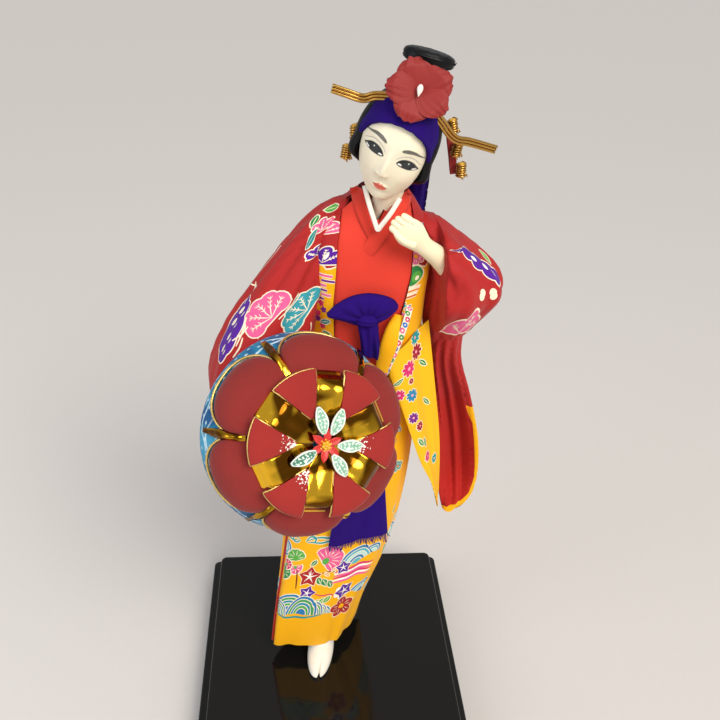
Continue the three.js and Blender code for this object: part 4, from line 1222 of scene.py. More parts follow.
def mist(dye, length, wide):  # a long bar with round ends
    a = linspace(-math.pi / 2, math.pi / 2, 8)
    right = stack([length / 2 + cos(a) * wide / 2, sin(a) * wide / 2], -1)
    left = stack([-length / 2 - cos(a) * wide / 2, -sin(a) * wide / 2], -1)
    shape = concatenate([right, left])
    return [(shape * (1, 1 + 0.7 / wide), "cream"), (shape, dye)]


def chrysanthemum(dye, r):
    return [(lobed(r + 0.4, 9, 0.3), "cream"), (lobed(r, 9, 0.36), dye),
            (circle(0, 0, r * 0.22, 9), "palePink")]


def cloudBand(dye, circles):  # a cloud of circles with one cream edge
    return [(circle(x, y, r + grow, 20), colour) for grow, colour in ((0.6, "cream"), (0, dye))
            for x, y, r in circles]


print("cloth and motifs ready")

# Head: its own frame has z up and -y the way it looks

headSettings = {
    "centre": (17.2, -13, 313.5), "half": (12.9, 16, 19), "lower": 24, "nod": 14, "roll": 20, "yaw": -12,
    "lean": 1.8,           # mm by which the chin lies to one side
    "ivory": "#F1E8CC", "flush": "#F1D9C0", "lip": "#DD6B58", "lipDeep": "#B9483E", "ink": "#16191B",
    "inkSoft": "#5B5F5E", "white": "#FFFDF6", "lid": "#E3DCCB", "iris": "#39413F", "brow": "#2A2F2E",
    "paintedNoseShade": "#B99A86",
}
q = headSettings


def eulerMatrix(order, **turns):  # axis letters in the order in which they multiply
    made = Matrix.Identity(3)
    for axis in order:
        made = made @ Matrix.Rotation(rad(turns[axis]), 3, axis)
    return array(made)


headBasis = eulerMatrix("YZX", X=q["nod"], Y=q["roll"], Z=q["yaw"])


def inHead(points):
    return asarray(points) @ headBasis.T + array(q["centre"])


def headShape(x, y, z):  # from a unit ball to the face
    low = maximum(0, -z)
    px = x * q["half"][0] * (1 - 0.22 * low ** 5) + q["lean"] * low
    pz = z * np.where(z < 0, q["lower"], q["half"][2])
    depth = y * q["half"][1] * np.where(y < 0, 0.88, 1) * np.where(y > 0, 1 - 0.35 * low ** 2, 1)
    mx = px - 0.35 + 0.05 * pz                       # distance from the face's middle line
    nx = mx + 0.12 * maximum(0, 2 - pz)           # the nose lies a little to one side
    ridge = bump(nx, 0, 1.15 + 0.75 * smoothStep(1, -8, pz)) * (0.15 + 1.9 * smoothStep(3.5, -6.8, pz)) \
        * smoothStep(-9.8, -7.4, pz) * smoothStep(6.5, 1.0, pz)
    wings = 0.45 * twoBumps(nx, 1.7, 0.75) * bump(pz, -7.8, 1.0)
    sockets = -0.55 * twoBumps(mx, 6.4, 4.0) * bump(pz, -0.4 - 0.09 * mx, 2.9)
    lids = 0.28 * twoBumps(mx, 6.4, 3.6) * bump(pz, -0.6 - 0.09 * mx, 1.9)
    brow = 0.35 * bump(np.abs(mx), 6.5, 4.5) * bump(pz, 4.4, 2.0)
    lips = 0.75 * bump(mx, -0.2, 2.6) * (0.9 * bump(pz, -12.9, 0.75) + bump(pz, -14.5, 0.85))
    groove = -0.3 * bump(mx, -0.1, 0.5) * bump(pz, -11.1, 0.9) - 0.3 * bump(mx, 0, 2.4) * bump(pz, -16.4, 0.8)
    chin = 1.5 * bump(mx, 0.6, 4.2) * bump(pz, -20.2, 3.0)
    cheeks = 0.5 * twoBumps(mx, 7.5, 3.2) * bump(pz, -8.5, 4.0)
    front = smoothStep(0.05, -0.35, y)
    depth = depth - front * (ridge + wings + sockets + lids + brow + lips + groove + chin + cheeks)
    return stack([px, depth, pz], -1)


def between(x, low, high, soft=0.11):
    return smoothStep(-soft, soft, x - low) * smoothStep(-soft, soft, high - x)


def curveOf(points, x):  # height of a smooth line through points at x
    fine = curve(points, 60)
    return interp(x, fine[:, 0], fine[:, 1])


turns = concatenate([linspace(-168, -12, 230), linspace(-8, 188, 50)])      # degrees, more in front
falls = concatenate([linspace(1, 60, 40), linspace(61, 150, 170), linspace(151.5, 179, 26)])
turn, fall = [grid.ravel() for grid in meshgrid(radians(turns), radians(falls))]
local = headShape(sin(fall) * cos(turn), sin(fall) * sin(turn), cos(fall))
fx = local[:, 0] - 0.3 + 0.03 * local[:, 2]
fz = local[:, 2] + 0.096 * (local[:, 0] - 0.3)          # the features lie on a slightly tilted line
isFront = smoothStep(0.02, -0.1, local[:, 1] / 16)
side = np.abs(fx)
upper = curveOf([(2.45, -1.15), (3.4, 0.25), (5.0, 1.05), (7.0, 1.0), (8.9, 0.05), (11.1, -2.35)], side)
lower = curveOf([(2.45, -1.15), (3.6, -1.9), (5.4, -2.35), (7.6, -2.7), (9.6, -2.6), (11.1, -2.35)], side)
inEye = between(side, 2.5, 11.0) * isFront
white = maximum(between(side, 3.2, 4.6, 0.25) * between(fz, curveOf([(3, -1.35), (4, -1.5), (5, -1.9)], side),
                                                          curveOf([(3, -0.95), (4, -0.9), (5, -1.4)], side)),
                between(side, 8.6, 10.0, 0.25) * between(fz, lower + 0.28, lower + 0.85))
iris = hypot((side - 6.3) / 1.7, (fz + 0.8) / 1.5)
# a painted highlight: a white spot in each eye that stands for a lamp's reflection
paintedEyeHighlight = hypot(side - 6.9, fz + 0.2)
crease = curveOf([(1.9, -0.2), (3.6, 1.6), (6.2, 2.5), (8.6, 1.7), (11.3, -0.9)], side)
browLine = curveOf([(3.0, 3.9), (5.2, 4.45), (7.6, 4.3), (9.8, 3.2), (11.9, 1.9)], side)
browHalf = 0.66 * interp(side, [2.9, 3.6, 5.2, 8.0, 11.9], [0.0, 0.75, 1.0, 0.7, 0.05])
lx = local[:, 0] - 0.85
lz = local[:, 2] + 0.07 * lx + 13.65
topLip = curveOf([(-2.9, 0), (-1.5, 0.95), (-0.55, 1.5), (0, 1.15), (0.55, 1.5), (1.5, 0.95), (2.9, 0)], lx)
lowLip = curveOf([(-2.9, 0), (-1.6, -1.05), (0, -1.5), (1.6, -1.05), (2.9, 0)], lx)
parting = curveOf([(-2.8, 0), (-1.2, 0.12), (0, -0.16), (1.2, 0.12), (2.8, 0)], lx)
inLips = isFront * between(lx, -2.8, 2.8, 0.15)
dyes = dyed(len(local), q["ivory"])
for mask, paint in ((0.3 * isFront * (bump(side, 7.6, 3.2) * bump(fz, -8.0, 3.2)), "flush"),
                    (0.45 * isFront * bump(side, 5.6, 4.6) * bump(fz, 1.4, 1.9), "lid"),
                    (inEye * between(fz, lower, upper), "ink"),
                    (inEye * white, "white"),
                    (inEye * (1 - smoothStep(0.75, 1.0, iris)) * 0.35 * between(fz, lower + 0.2, upper - 0.5),
                     "iris"),
                    (inEye * (1 - smoothStep(0.16, 0.3, paintedEyeHighlight)), "white"),
                    (0.55 * isFront * between(side, 2.1, 11.1, 0.5)
                     * (1 - smoothStep(0.08, 0.24, np.abs(fz - crease))), "inkSoft"),
                    (0.88 * isFront * between(side, 3.0, 11.7, 0.3)
                     * (1 - smoothStep(0, 0.22, np.abs(fz - browLine) - browHalf)), "brow"),
                    (inLips * between(lz, lowLip, topLip, 0.15), "lip"),
                    (inLips * 0.9 * (1 - smoothStep(0.06, 0.2, np.abs(lz - parting))), "lipDeep"),
                    # painted shade under the nose tip, at the nostrils
                    (0.4 * isFront * (bump(fx, 1.3, 0.5) + bump(fx, -1.1, 0.5))
                     * bump(local[:, 2], -9.7, 0.4),
                     "paintedNoseShade")):
    dyes = paintOver(dyes, mask, q[paint])
makePiece("painted_face", inHead(local), flipped(barFaces(len(turns), len(falls))), ivorySkin, "ivory_face",
          "head", None, dyes)
points, faces = limb([(14.5, -4, 277, 8.5, 7), (15.5, -5, 284, 6.4, 6), (16.5, -8, 294, 5.6, 5.6),
                      (18, -10, 304, 5.8, 5.8)])
makePiece("neck", points, faces, ivorySkin, "ivory_face", None, None, dyed(len(points), q["ivory"]))
print("face ready")

# Hair: a combed cap with a fuller lock at each side of the face

hairSettings = {"stand": 0.9, "lock": 2.6, "thick": 1.6, "combs": 46, "range": 205, "around": 230,
                "rings": 80}


def hairSurface(s, t):
    # s runs from one temple round the back to the other, t from the nape up to the crown
    turn = (s - 0.5) * rad(hairSettings["range"])
    fall = np.arccos(clip(-0.62 + 1.619 * t, -0.9999, 0.9995))
    x, y, z = sin(fall) * sin(turn), sin(fall) * cos(turn), cos(fall)
    comb = 0.16 * sin(s * hairSettings["combs"] * math.pi) * sin(fall)
    lock = hairSettings["lock"] * bump(np.abs(s - 0.5) * 2, 0.95, 0.3) * bump(z, -0.44, 0.2)
    tuck = -1.6 * smoothStep(0.12, 0.0, t) - 2.0 * smoothStep(0.955, 1.0, np.abs(s - 0.5) * 2)
    low = maximum(0, -z)
    grow = hairSettings["stand"] + comb + lock + tuck
    half = q["half"]
    px = x * (half[0] * (1 - 0.1 * low) + grow) + 0.9 * low
    py = y * (half[1] * np.where(y > 0, 1 - 0.2 * low, 0.88) + grow)
    return inHead(stack([px, py, z * (np.where(z < 0, 19.0, half[2]) + grow * 0.6)], -1))


slabPiece("combed_hair", hairSurface, (hairSettings["around"], hairSettings["rings"]), hairSettings["thick"],
          (62, 34),
          silkHair, "black_hair", "hair", flip=True)

# Headband: purple crepe, folded lengthwise, from the hairline over the crown to the nape

bandSettings = {
    # by the angle from the front, in degrees: its lower and its upper edge, in mm over the head's middle
    "turn": [0, 20, 40, 55, 68, 80, 95, 115, 150, 180],
    "low": [11.4, 10.8, 8.6, 5.6, 1.0, -3.2, -5.6, -6.8, -9.2, -10.0],
    "high": [18.6, 18.5, 18.3, 17.9, 17.4, 16.6, 14.2, 10.8, 6.4, 4.4],
    "stand": 1.7, "knot": (30.4, 8.6, 301.5), "knotHalf": (5.4, 3.6, 4.0),
}


def bandSurface(s, t):
    turn = s * 2 * math.pi
    fromFront = np.degrees(np.abs(arctan2(sin(turn), cos(turn))))
    low, high = [interp(fromFront, bandSettings["turn"], bandSettings[k]) for k in ("low", "high")]
    z = low + (high - low) * t
    folds = 0.16 * sin(t * 12 + 1.5 * sin(turn)) + 0.07 * sin(turn * 17 + t * 6)
    tuck = -0.9 * (smoothStep(0.06, 0.0, t) + smoothStep(0.94, 1.0, t))
    grow = bandSettings["stand"] + folds + tuck
    half = q["half"]
    reach = sqrt(maximum(0.02, 1 - (z / (half[2] + 2)) ** 2))
    x = sin(turn) * (half[0] + grow) * reach
    y = -cos(turn) * (half[1] + grow) * reach * np.where(cos(turn) > 0, 0.9, 1)
    return inHead(stack([x, y, z + 0.6 * grow * t], -1))


def bandTail(s, t):  # t runs up
    down = 1 - t
    wave = 1.3 * sin(s * 7 + down * 3) + 0.5 * sin(s * 17 - down * 5)
    return stack([26 - 0.8 * down + (9 + 1.5 * down) * s, 9 + 13 * sin(math.pi / 2 * down) + wave,
                  300 - 57.5 * down], -1)


band = slabPiece("headband_wrap", bandSurface, (220, 44), 0.7, (92, 16), purpleCrepe, "purple_crepe",
                 "headband", closed=True)
tailCloth = Cloth(bandTail, 0.5, 60)
tail = printedPiece("headband_tail_cloth", tailCloth, [], "crepePurple", None, "purple_crepe", purpleCrepe,
                    1.6, 0.6, "headband_tail")
knot = bandSettings["knot"]
points, faces = ball(knot, bandSettings["knotHalf"], 40, 26)
swirl = points - array(knot)
points = points + unit(swirl) * (0.45 * sin(arctan2(swirl[:, 2], swirl[:, 0]) * 7 + swirl[:, 1]))[:, None]
strap = pathOf([inHead((7, 14.6, -3)), inHead((8.5, 16.8, -5)), (30.4, 8.6, 302.5)], 14)
points, faces = together((points, faces), tube(strap, 2.8, 18, 0.4))
makePiece("headband_knot", points, faces, purpleCrepe, "purple_crepe", None, points[:, [0, 2]])

# Topknot: hair wound into a flat bar on a short stem, with a few hairs worked loose at its end

bun = {"centre": (28, -4, 340.5), "half": (9.6, 6.4, 2.7), "tilt": 13, "around": 120, "rings": 40}
tip, turn = meshgrid(linspace(0.02, math.pi - 0.02, bun["rings"]), turnsOf(bun["around"]))
tip, turn = tip.T.ravel(), turn.T.ravel()
wind = 1 + 0.022 * sin(tip * 26 + 3 * sin(turn)) + 0.01 * sin(turn * 9 + tip * 31)
bar = stack([sin(tip) ** 0.55 * cos(turn) * bun["half"][0] * wind,
             sin(tip) ** 0.55 * sin(turn) * bun["half"][1] * wind,
             signedPower(cos(tip), 0.6) * bun["half"][2] * wind], -1)
bar = bar @ eulerMatrix("Y", Y=bun["tilt"]).T + array(bun["centre"])
stem = limb([(25, -8, 329, 5.2, 5.2), (26.5, -6, 334, 3.7, 3.7), (28, -4, 340, 3.8, 3.8)], 36, 20)
a = linspace(0, 1, 14)
loose = stack([1.2 * sin(a * 3), -0.6 * a, 1.6 * sin(a * 2.2) - 1.2 * a], -1)
loops = [tube(array((36.6, -6 + k, 338.6 - 0.6 * k)) + loose, 0.12, 5) for k in range(3)]
points, faces = together((bar, flipped(barFaces(bun["around"], bun["rings"]))), stem, *loops)
makePiece("topknot_bar", points, faces, silkHair, "black_hair", "topknot",
          stack([points[:, 2] * 1.0, points[:, 0] + points[:, 1] * 0.5], -1))
print("hair ready")

# Hairpin: three gilt rods side by side, bent where they leave the hair

pinSettings = {
    "path": [(-7, -15, 331.7), (-2, -16, 330.4), (3.8, -17, 329.0), (8.0, -18.3, 330.3), (13, -20, 330.5),
             (21, -22, 329.5), (26.6, -22.6, 327.4), (31.2, -21.2, 322.9), (35.8, -18.3, 317.2),
             (39.4, -16, 314.6), (44, -14, 313.4), (55, -10, 309.6)],
    "apart": 1.12, "rod": 0.62,
}
line = pathOf(pinSettings["path"], 80)
across = unit(cross(unit(gradient(line, axis=0)), (0, 1, 0)))
rods = [tube(line + across * (k * pinSettings["apart"]), pinSettings["rod"], 12, 0.9) for k in (-1, 0, 1)]
makePiece("hairpin_rods", *together(*rods), goldWire, "gold_wire", "hairpin")

# Flower: five gathered petals of red silk crepe round a pearl drop

flowerSettings = {"centre": (22, -24.6, 333.6), "radius": 12.4, "turn": 115,
                  "sizes": (1.0, 0.95, 1.0, 0.96, 1.02)}
w = flowerSettings
flowerBasis = eulerMatrix("ZYX", X=68, Y=12, Z=-6)


def inFlower(points):
    return asarray(points) @ flowerBasis.T + array(w["centre"])


shapes = []
for k, big in enumerate(w["sizes"]):
    angle = rad(w["turn"] + 72 * k)

    def petalSurface(s, t):
        t = 1 - t
        side = (s - 0.5) * 2
        reach = w["radius"] * big
        half = reach * 0.52 * sin(math.pi * clip(0.08 + 0.76 * t, 0, 1)) ** 0.9
        along = reach * t * (1 - 0.1 * side ** 2 * t ** 2 + 0.02 * t ** 4 * sin(side * 8 + k))
        pleat = 0.13 * t * sin(side * 15 + 2 * t + k) + 0.5 * t ** 2 * sin(side * 4.5 + k * 2)
        lift = 0.3 + 3.4 * t ** 0.9 - 1.3 * side ** 2 * t + pleat + (0.8 if k % 2 else 0.0) \
            - 1.3 * smoothStep(0.7, 1.0, t)
        x = cos(angle) * along - sin(angle) * half * side
        y = sin(angle) * along + cos(angle) * half * side
        return inFlower(stack([x, y * 0.88, lift], -1))

    shapes.append(slab(petalSurface, 61, 30, 0.3))
s, t = spotsOf(61, 30)
makePiece("crepe_flower", *together(*shapes), redSilk, "red_silk", "hair_flower",
          tile(stack([s * 13, t * 2], -1), (2 * len(shapes), 1)))
s, p = spotsOf(20, 14, True)
a = s * 2 * math.pi
drop = sin(math.pi * minimum(1, p ** 0.8)) ** 0.8 * (1.25 - 0.45 * p)
points = inFlower(stack([cos(a) * drop, 2.1 - 4.3 * p, 3.0 + sin(a) * drop], -1))
makePiece("pearl_drop", points, barFaces(20, 14), whiteBead, "white_bead", "flower_stamen")

# Coils of gilt wire beside the ears, wound on small glass tubes, and a dark strip behind the right ones

coilSettings = {
    "centres": [(2.4, -6, 314), (-0.6, -6, 306.5), (38.5, -7, 317), (41, -7, 308.5), (43.4, -7, 300.5)],
    "turns": 6.2, "radius": 1.72, "wire": 0.36, "length": 5.4,
}
for k, centre in enumerate(coilSettings["centres"]):
    lean = eulerMatrix("Y", Y=12 * math.sin(k * 2.4))
    a = linspace(0, coilSettings["turns"] * 2 * math.pi, 190)
    radius = coilSettings["radius"] + 0.12 * sin(a * 0.5 + k)
    helix = stack([cos(a) * radius, sin(a) * radius, (a / a[-1] - 0.5) * coilSettings["length"]], -1)
    curl = linspace(0, 4.5, 24)
    loop = stack([1.1 * cos(curl) + 1.2, zeros(24) - 1.2, 1.1 * sin(curl) - 2.2], -1)
    glass = array([(0, 0, -2.9), (0, 0, -2.7), (0, 0, 2.7), (0, 0, 2.9)])
    wire, end, core = [tube(line @ lean.T + array(centre), radius, around)
                       for line, radius, around in ((helix, coilSettings["wire"], 7), (loop, 0.3, 7),
                                                    (glass, array([1.0, 1.35, 1.35, 1.0]), 16))]
    makePiece(f"wire_coil_{k + 1}", *together(wire, end), goldWire, "gold_wire", f"gold_coil_{k + 1}")
    makePiece(f"coil_core_{k + 1}", *core, amberBead, "gold_wire")
slabPiece("coil_backing", lambda s, t: stack([40 + 3 * s - 3 * t, -5 + s + 0.2 * sin(t * 9), 298 + 15 * t],
                                             -1),
          (9, 40), 0.6, (3, 15), redSilk, "red_silk", "coil_strip")
print("ornaments ready")

# Hands: smooth moulded forms, the fingers close together with fine lines between them


def hand(name, arm, knuckles, tips, spread, thick, thumb, node):
    shapes = [limb(arm, 40, 70)]
    for k, longer in enumerate((0.0, 0.25, 0.2, -0.1)):
        move = array(spread) * (k - 1.5)
        a, b = array(knuckles) + move, array(tips) + move * 0.9
        b = b + (b - a) * longer
        root, knee = a - (b - a) * 0.7, a + (b - a) * 0.55 + array((-0.2, -0.35, 0.25))
        rows = [(*root, thick * 0.8, thick * 0.7), (*a, thick, thick), (*knee, thick, thick * 0.95),
                (*(a * 0.15 + b * 0.85), thick * 0.85, thick * 0.8), (*b, thick * 0.4, thick * 0.4)]
        shapes.append(limb(rows, 18, 34))
    shapes.append(limb([(*p, r, r) for p, r in thumb], 18, 30))
    points, faces = together(*shapes)
    makePiece(name, points, faces, ivorySkin, "ivory_face", node, None, dyed(len(points), "#F4E9C4"))


hand("left_hand", [(46, -9, 256.5, 4.8, 4.6), (42, -12.5, 261.5, 4.6, 4.4), (35.5, -17.2, 269.3, 4.1, 4.0),
                   (29.5, -21, 275.0, 3.7, 3.3), (26.0, -22.8, 278.6, 4.8, 3.2),
                   (23.2, -24.2, 281.6, 5.7, 2.9),
                   (20.6, -25.0, 284.2, 5.0, 2.2), (19.6, -25.2, 285.2, 4.0, 1.7)],
     (20.2, -25.3, 284.9), (17.2, -24.2, 286.7), (1.35, -0.1, 1.75), 1.36,
     [((24.6, -25.4, 277.6), 1.9), ((21.0, -26.4, 279.4), 1.55), ((18.2, -26.4, 281.6), 1.25),
      ((16.6, -25.6, 283.4), 0.6)], "hand_left")
hand("right_hand", [(-33, -14, 184, 5, 5), (-27, -26, 191, 4.3, 4.3), (-21, -36, 198, 3.7, 3.3),
                    (-18, -44, 203.5, 4.3, 2.9), (-16.5, -49, 206.5, 3.9, 2.3)],
     (-16.5, -49, 206.5), (-13, -51, 211.5), (1.7, 0.6, -0.6), 1.25,
     [((-20, -43, 203), 1.6), ((-22.6, -46.5, 205.4), 1.35), ((-22.4, -49.4, 208.4), 1.1),
      ((-21.6, -50.6, 210.4), 0.6)], "hand_right")

# Feet in split-toed socks, with the ankles going up under the robe


def sock(name, toe, heel, half, node):
    long = math.hypot(toe[0] - heel[0], toe[1] - heel[1]) / 2
    at = tableOf(rowsOf("z y a b", (22.3, 0, half * 0.80, long - 1.4), (23.0, 0, half * 0.95, long - 0.3),
                        (24.4, 0.2, half, long), (26.8, 1.2, half * 0.95, long - 1.8),
                        (29.4, 4.4, half * 0.82, long - 5.6), (32.5, 7.2, half * 0.72, long - 9.2),
                        (40, 8.5, half * 0.66, long - 11), (50, 8.5, half * 0.66, long - 11.5)))
    s, t = spotsOf(140, 60, True)
    angle, row = s * 2 * math.pi, at(t)
    x = signedPower(sin(angle), 0.9) * row["a"]
    slit = bump(x, 0.9, 0.55) * smoothStep(0.2, 0.75, cos(angle)) * smoothStep(0.62, 0.35, t)
    y = row["y"] - cos(angle) * row["b"] + slit * 3.4
    points = stack([x, y, row["z"] - 0.7 * slit * smoothStep(0.1, 0.4, t)], -1)
    turn = array(Matrix.Rotation(math.atan2(toe[0] - heel[0], heel[1] - toe[1]), 3, "Z"))
    middle = array(((toe[0] + heel[0]) / 2, (toe[1] + heel[1]) / 2, 0))
    makePiece(name, points @ turn.T + middle, barFaces(140, 60), tabiCotton, "white_cotton", node)


sock("right_sock", (-8.5, -26), (-3, 11), 7, "foot_right")
sock("left_sock", (2, 4), (7, 31), 5.6, "foot_left")
print("hands and feet ready")

# White collar: a folded strip that follows the neckline, most of it under the red one

collarPath = pathOf([(6.2, -12, 295.6), (8.0, -15.8, 289.6), (10.6, -19.0, 282.6), (11.4, -19.6, 281.0),
                     (12.5, -19.5, 282.4), (16, -18.6, 287.2), (19.6, -15.4, 292)], 90)
face = array((0.0, -0.93, 0.36))
across = unit(cross(unit(gradient(collarPath, axis=0)), face))
section = array([(-0.9, -0.5), (-0.9, 0.35), (-0.55, 0.62), (0.0, 0.66), (0.55, 0.62), (0.9, 0.35),
                 (0.9, -0.5)])
points = collarPath[:, None] + across[:, None] * section[None, :, :1] + face * section[None, :, 1:]
flat = stack([tile(section[:, 0] * 2, 90), repeat(linspace(0, 34, 90), 7)], -1)
makePiece("white_collar", points.reshape(-1, 3), barFaces(7, 90), whiteCotton, "white_cotton", "under_collar",
          flat)
print("white collar ready")

# Robes: the surfaces that the cloth lies on

def stackedOn(rows, folds, grow=0.0):  # a tube of horizontal sections, read by angle (0 is the front) and t
    at = tableOf(rows)

    def point(angle, t):
        row = at(t)
        swell = 1 + (folds(angle, t) + grow) / maximum(row["a"], 4)
        power = 2 / row.get("square", 2.0)
        across = signedPower(sin(angle), power) * row["a"] * swell
        front = maximum(0, cos(angle)) ** 2 * row.get("dent", 0.0)
        depth = -signedPower(cos(angle), power) * row["b"] * swell + front
        return stack([row["x"] + across + row.get("lean", 0.0) * depth, row["y"] + depth, row["z"]], -1)
    return point


skirtSettings = {
    "rows": rowsOf("z x y a b lean square",
                   (32, -7, 7, 19.5, 17.5, 0.5, 4.2), (60, -4, 6, 22.5, 19, 0.4, 3.2),
                   (90, 0.5, 5, 26, 20, 0.25, 3), (120, 3.5, 3, 28, 20.5, 0.12, 2.8),
                   (150, 6.5, 2, 28, 20, 0.05, 2.6), (175, 8.5, 1.5, 27, 19.5, 0.02, 2.5),
                   (195.7, 10, 2, 26, 19, 0, 2.5)),
    "start": -58,          # degrees, where the upper edge of the wrap lies; the front is 0
    "lap": 40,             # degrees by which it laps over itself
    "step": 0.9,           # mm by which the outer turn stands off the inner one
}


def skirtFolds(a, t):
    low = 1 - t
    return 0.8 * sin(a * 9 + 2 * t) * low + 0.3 * sin(a * 17 + 5 * t + 1) * (0.4 + 0.6 * low)


skirtForm = stackedOn(skirtSettings["rows"], skirtFolds)
skirtOuter = stackedOn(skirtSettings["rows"], skirtFolds, skirtSettings["step"])


def skirtSurface(s, t):
    angle = rad(skirtSettings["start"]) + s * rad(360 + skirtSettings["lap"])
    over = (1 - smoothStep(0.0, 0.35, s))[..., None]
    under = smoothStep(0.86, 0.96, s)[..., None]
    point = skirtForm(angle, t) * (1 - over) + skirtOuter(angle, t) * over
    middle = stack([0 * t + 2, 0 * t + 4, point[..., 2]], -1)
    return point + (middle - point) * 0.02 * under


def sleeveFolds(a, t):
    return 0.9 * sin(a * 7 + 4 * t) * sin(math.pi * t) + 0.35 * sin(a * 15 - 9 * t)


def bagFolds(a, t):
    inside = maximum(0, cos(a))
    return (0.5 * sin(a * 9 + 3 * t) + 1.3 * inside * sin(a * 10 + 4 * t)) * sin(math.pi * t)


def torsoFolds(a, t):
    return 0.35 * sin(a * 11 + 6 * t) * sin(math.pi * t)


rightRows = rowsOf("z x y a b square",
                   (146, -30, 2, 13, 6, 2.6), (165, -32, -1, 18, 11, 2.4), (190, -34, -5, 22, 16, 2.2),
                   (212, -33.5, -8, 23, 18, 2), (233, -29.3, -7, 19, 16, 2), (251.5, -21.5, -4, 14.3, 14, 2),
                   (268.5, -12.7, -1, 9.7, 12, 2), (280, -5.7, 0, 6.2, 9, 2), (285, -1.7, 0, 3.2, 5, 2),
                   (286.4, 0.5, 0, 0.3, 0.5, 2))
armRows = rowsOf("z x y a b",
                 (213, 47, 6, 3, 3), (222, 45.5, 3, 8, 7.5), (236, 48, -1.5, 13, 11.5), (247, 51, -4, 16, 14),
                 (257, 50, -4, 14.5, 14), (266, 44, -3, 11.5, 13), (273, 37.5, -2, 9, 10),
                 (278.5, 33, -1, 5.5, 6.5), (281, 30, -1, 0.4, 0.5))
bagRows = rowsOf("z x y a b dent",
                 (120, 58, 2, 3, 4, 0), (127, 60.5, 2, 7.5, 8, 6), (142, 60.5, 3, 10, 11, 14),
                 (165, 58, 3, 10, 12, 15), (190, 53, 3, 8.5, 12, 12), (212, 47.8, 3, 7, 11, 5),
                 (232, 47.5, 2, 7, 10, 0))
torsoRows = rowsOf("z x y a b square",
                   (196, 10, 2, 27.5, 20.5, 2.5), (225, 10, 1, 25, 19, 2.5), (245, 10, 0, 25, 18.5, 2.5),
                   (261, 10, 0, 26, 18, 2.5), (274, 10.5, 0, 23.5, 16.5, 2.5), (283, 13, 0, 17, 13.5, 2.5),
                   (290, 15, 0, 10, 10.5, 2.5))
# where the robe's front edges lie, as z and x
leftEdge = array([(195, -1), (221, -3.2), (247, -4.5), (260, -4), (274, -3.5), (283, -2), (291, -1)])
rightEdge = array([(195, 18), (225, 21), (244, 23.5), (260, 26.5), (274, 27), (283, 26), (290, 25),
                   (296, 21.5)])
rightForm = stackedOn(rightRows, sleeveFolds)
armTube = stackedOn(armRows, sleeveFolds)
bagForm = stackedOn(bagRows, bagFolds)
torsoForm = stackedOn(torsoRows, torsoFolds)
torsoTable = tableOf(torsoRows)


def armForm(angle, t):  # the arm's sleeve, its mouth standing open over the wrist
    point = armTube(angle, t)
    x, z = point[..., 0], point[..., 2]
    edge = 37.4 + (277.8 - z) * 0.07
    window = smoothStep(281, 275, z) * smoothStep(226, 250, z) * smoothStep(0.1, 0.5, cos(angle))
    push = 10.0 * smoothStep(edge - 0.8, edge + 0.6, x) * (1 - smoothStep(39, 61, x)) * window
    return point - stack([0.0 * push, push, 0.0 * push], -1)


def torsoT(z):
    fine = linspace(0, 1, 400)
    return interp(z, torsoTable(fine)["z"], fine)


def torsoAngle(x, t):  # the angle at which the front of the torso has this x
    row = torsoTable(t)
    share = clip((x - row["x"]) / row["a"], -0.999, 0.999)
    return np.arcsin(signedPower(share, row["square"] / 2))


def onChest(x, z, lift=0.0):  # a point on the front of the torso
    row = torsoTable(torsoT(z))
    share = clip(np.abs(x - row["x"]) / row["a"], 0, 0.999)
    y = row["y"] - row["b"] * (1 - share ** row["square"]) ** (1 / row["square"])
    return stack([x, y - lift, z], -1)


def robeSurface(s, t):
    z = torsoTable(t)["z"]
    first = torsoAngle(interp(z, *rightEdge.T), t)
    last = torsoAngle(interp(z, *leftEdge.T), t) + 2 * math.pi
    return torsoForm(first + (last - first) * s, t)


panelLeft = tableOf(rowsOf("x z", (17, 224), (27, 196), (37, 168), (43.5, 154), (48, 139)))
panelRight = tableOf(rowsOf("x z", (36.5, 235.5), (43, 199), (47, 175), (49, 157), (50.5, 139)))


def panelSurface(s, t):  # t runs up from the free corner
    down = 1 - t
    a, b = panelLeft(down), panelRight(down)
    billow = 1.5 * sin(s * 6 + down * 2) + 0.5 * sin(s * 15 + down * 7)
    y = -21.5 + 5 * down + 13 * maximum(s, 0) ** 1.5 - billow
    return stack([a["x"] + (b["x"] - a["x"]) * s, y, a["z"] + (b["z"] - a["z"]) * s], -1)


def allRound(form):  # a tube as one cloth, its edges meeting at the back
    return Cloth(lambda s, t: form(rad(-180) + s * 2 * math.pi, t))


skirtCloth = Cloth(skirtSurface, -skirtSettings["start"] / (360 + skirtSettings["lap"]), 240)
rightCloth, armCloth, bagCloth = allRound(rightForm), allRound(armForm), allRound(bagForm)
robeCloth = Cloth(robeSurface, 0.5, 160)
panelCloth = Cloth(panelSurface, 0.5, 80)
print("robe surfaces ready")

# Skirt: a yellow wrap, its pattern thickest round the knees, with a plain band at the hem

blues = ("#2C7FB8", "#5FB8C9", "#BFE3DC")
waters = ("#2C7FB8", "#45A05A", "#2F93B5", "#58AE58", "#2C7FB8")


def waterHills(tall):
    out = []
    for x, y, r in ((-7.5, 1.4, 7.4), (-13.0, -0.6, 5.4), (12.4, 0.4, 3.4), (9.4, 0.4, 4.4), (6.0, 0.4, 5.6),
                    (0.4, 0, 8.0)):
        out += placed(waveArcs(waters if r > 4 else blues, r, 5 if r > 4 else 3), x, y * tall, 0, 1, tall)
    shore = brushed("teal", [(-13.5, -0.4), (-6, -1.5), (3, -1.2), (11.5, 0.2)], 16, 0.9, 0.5)
    return out + placed(shore, 0, 0, 0, 1, tall)


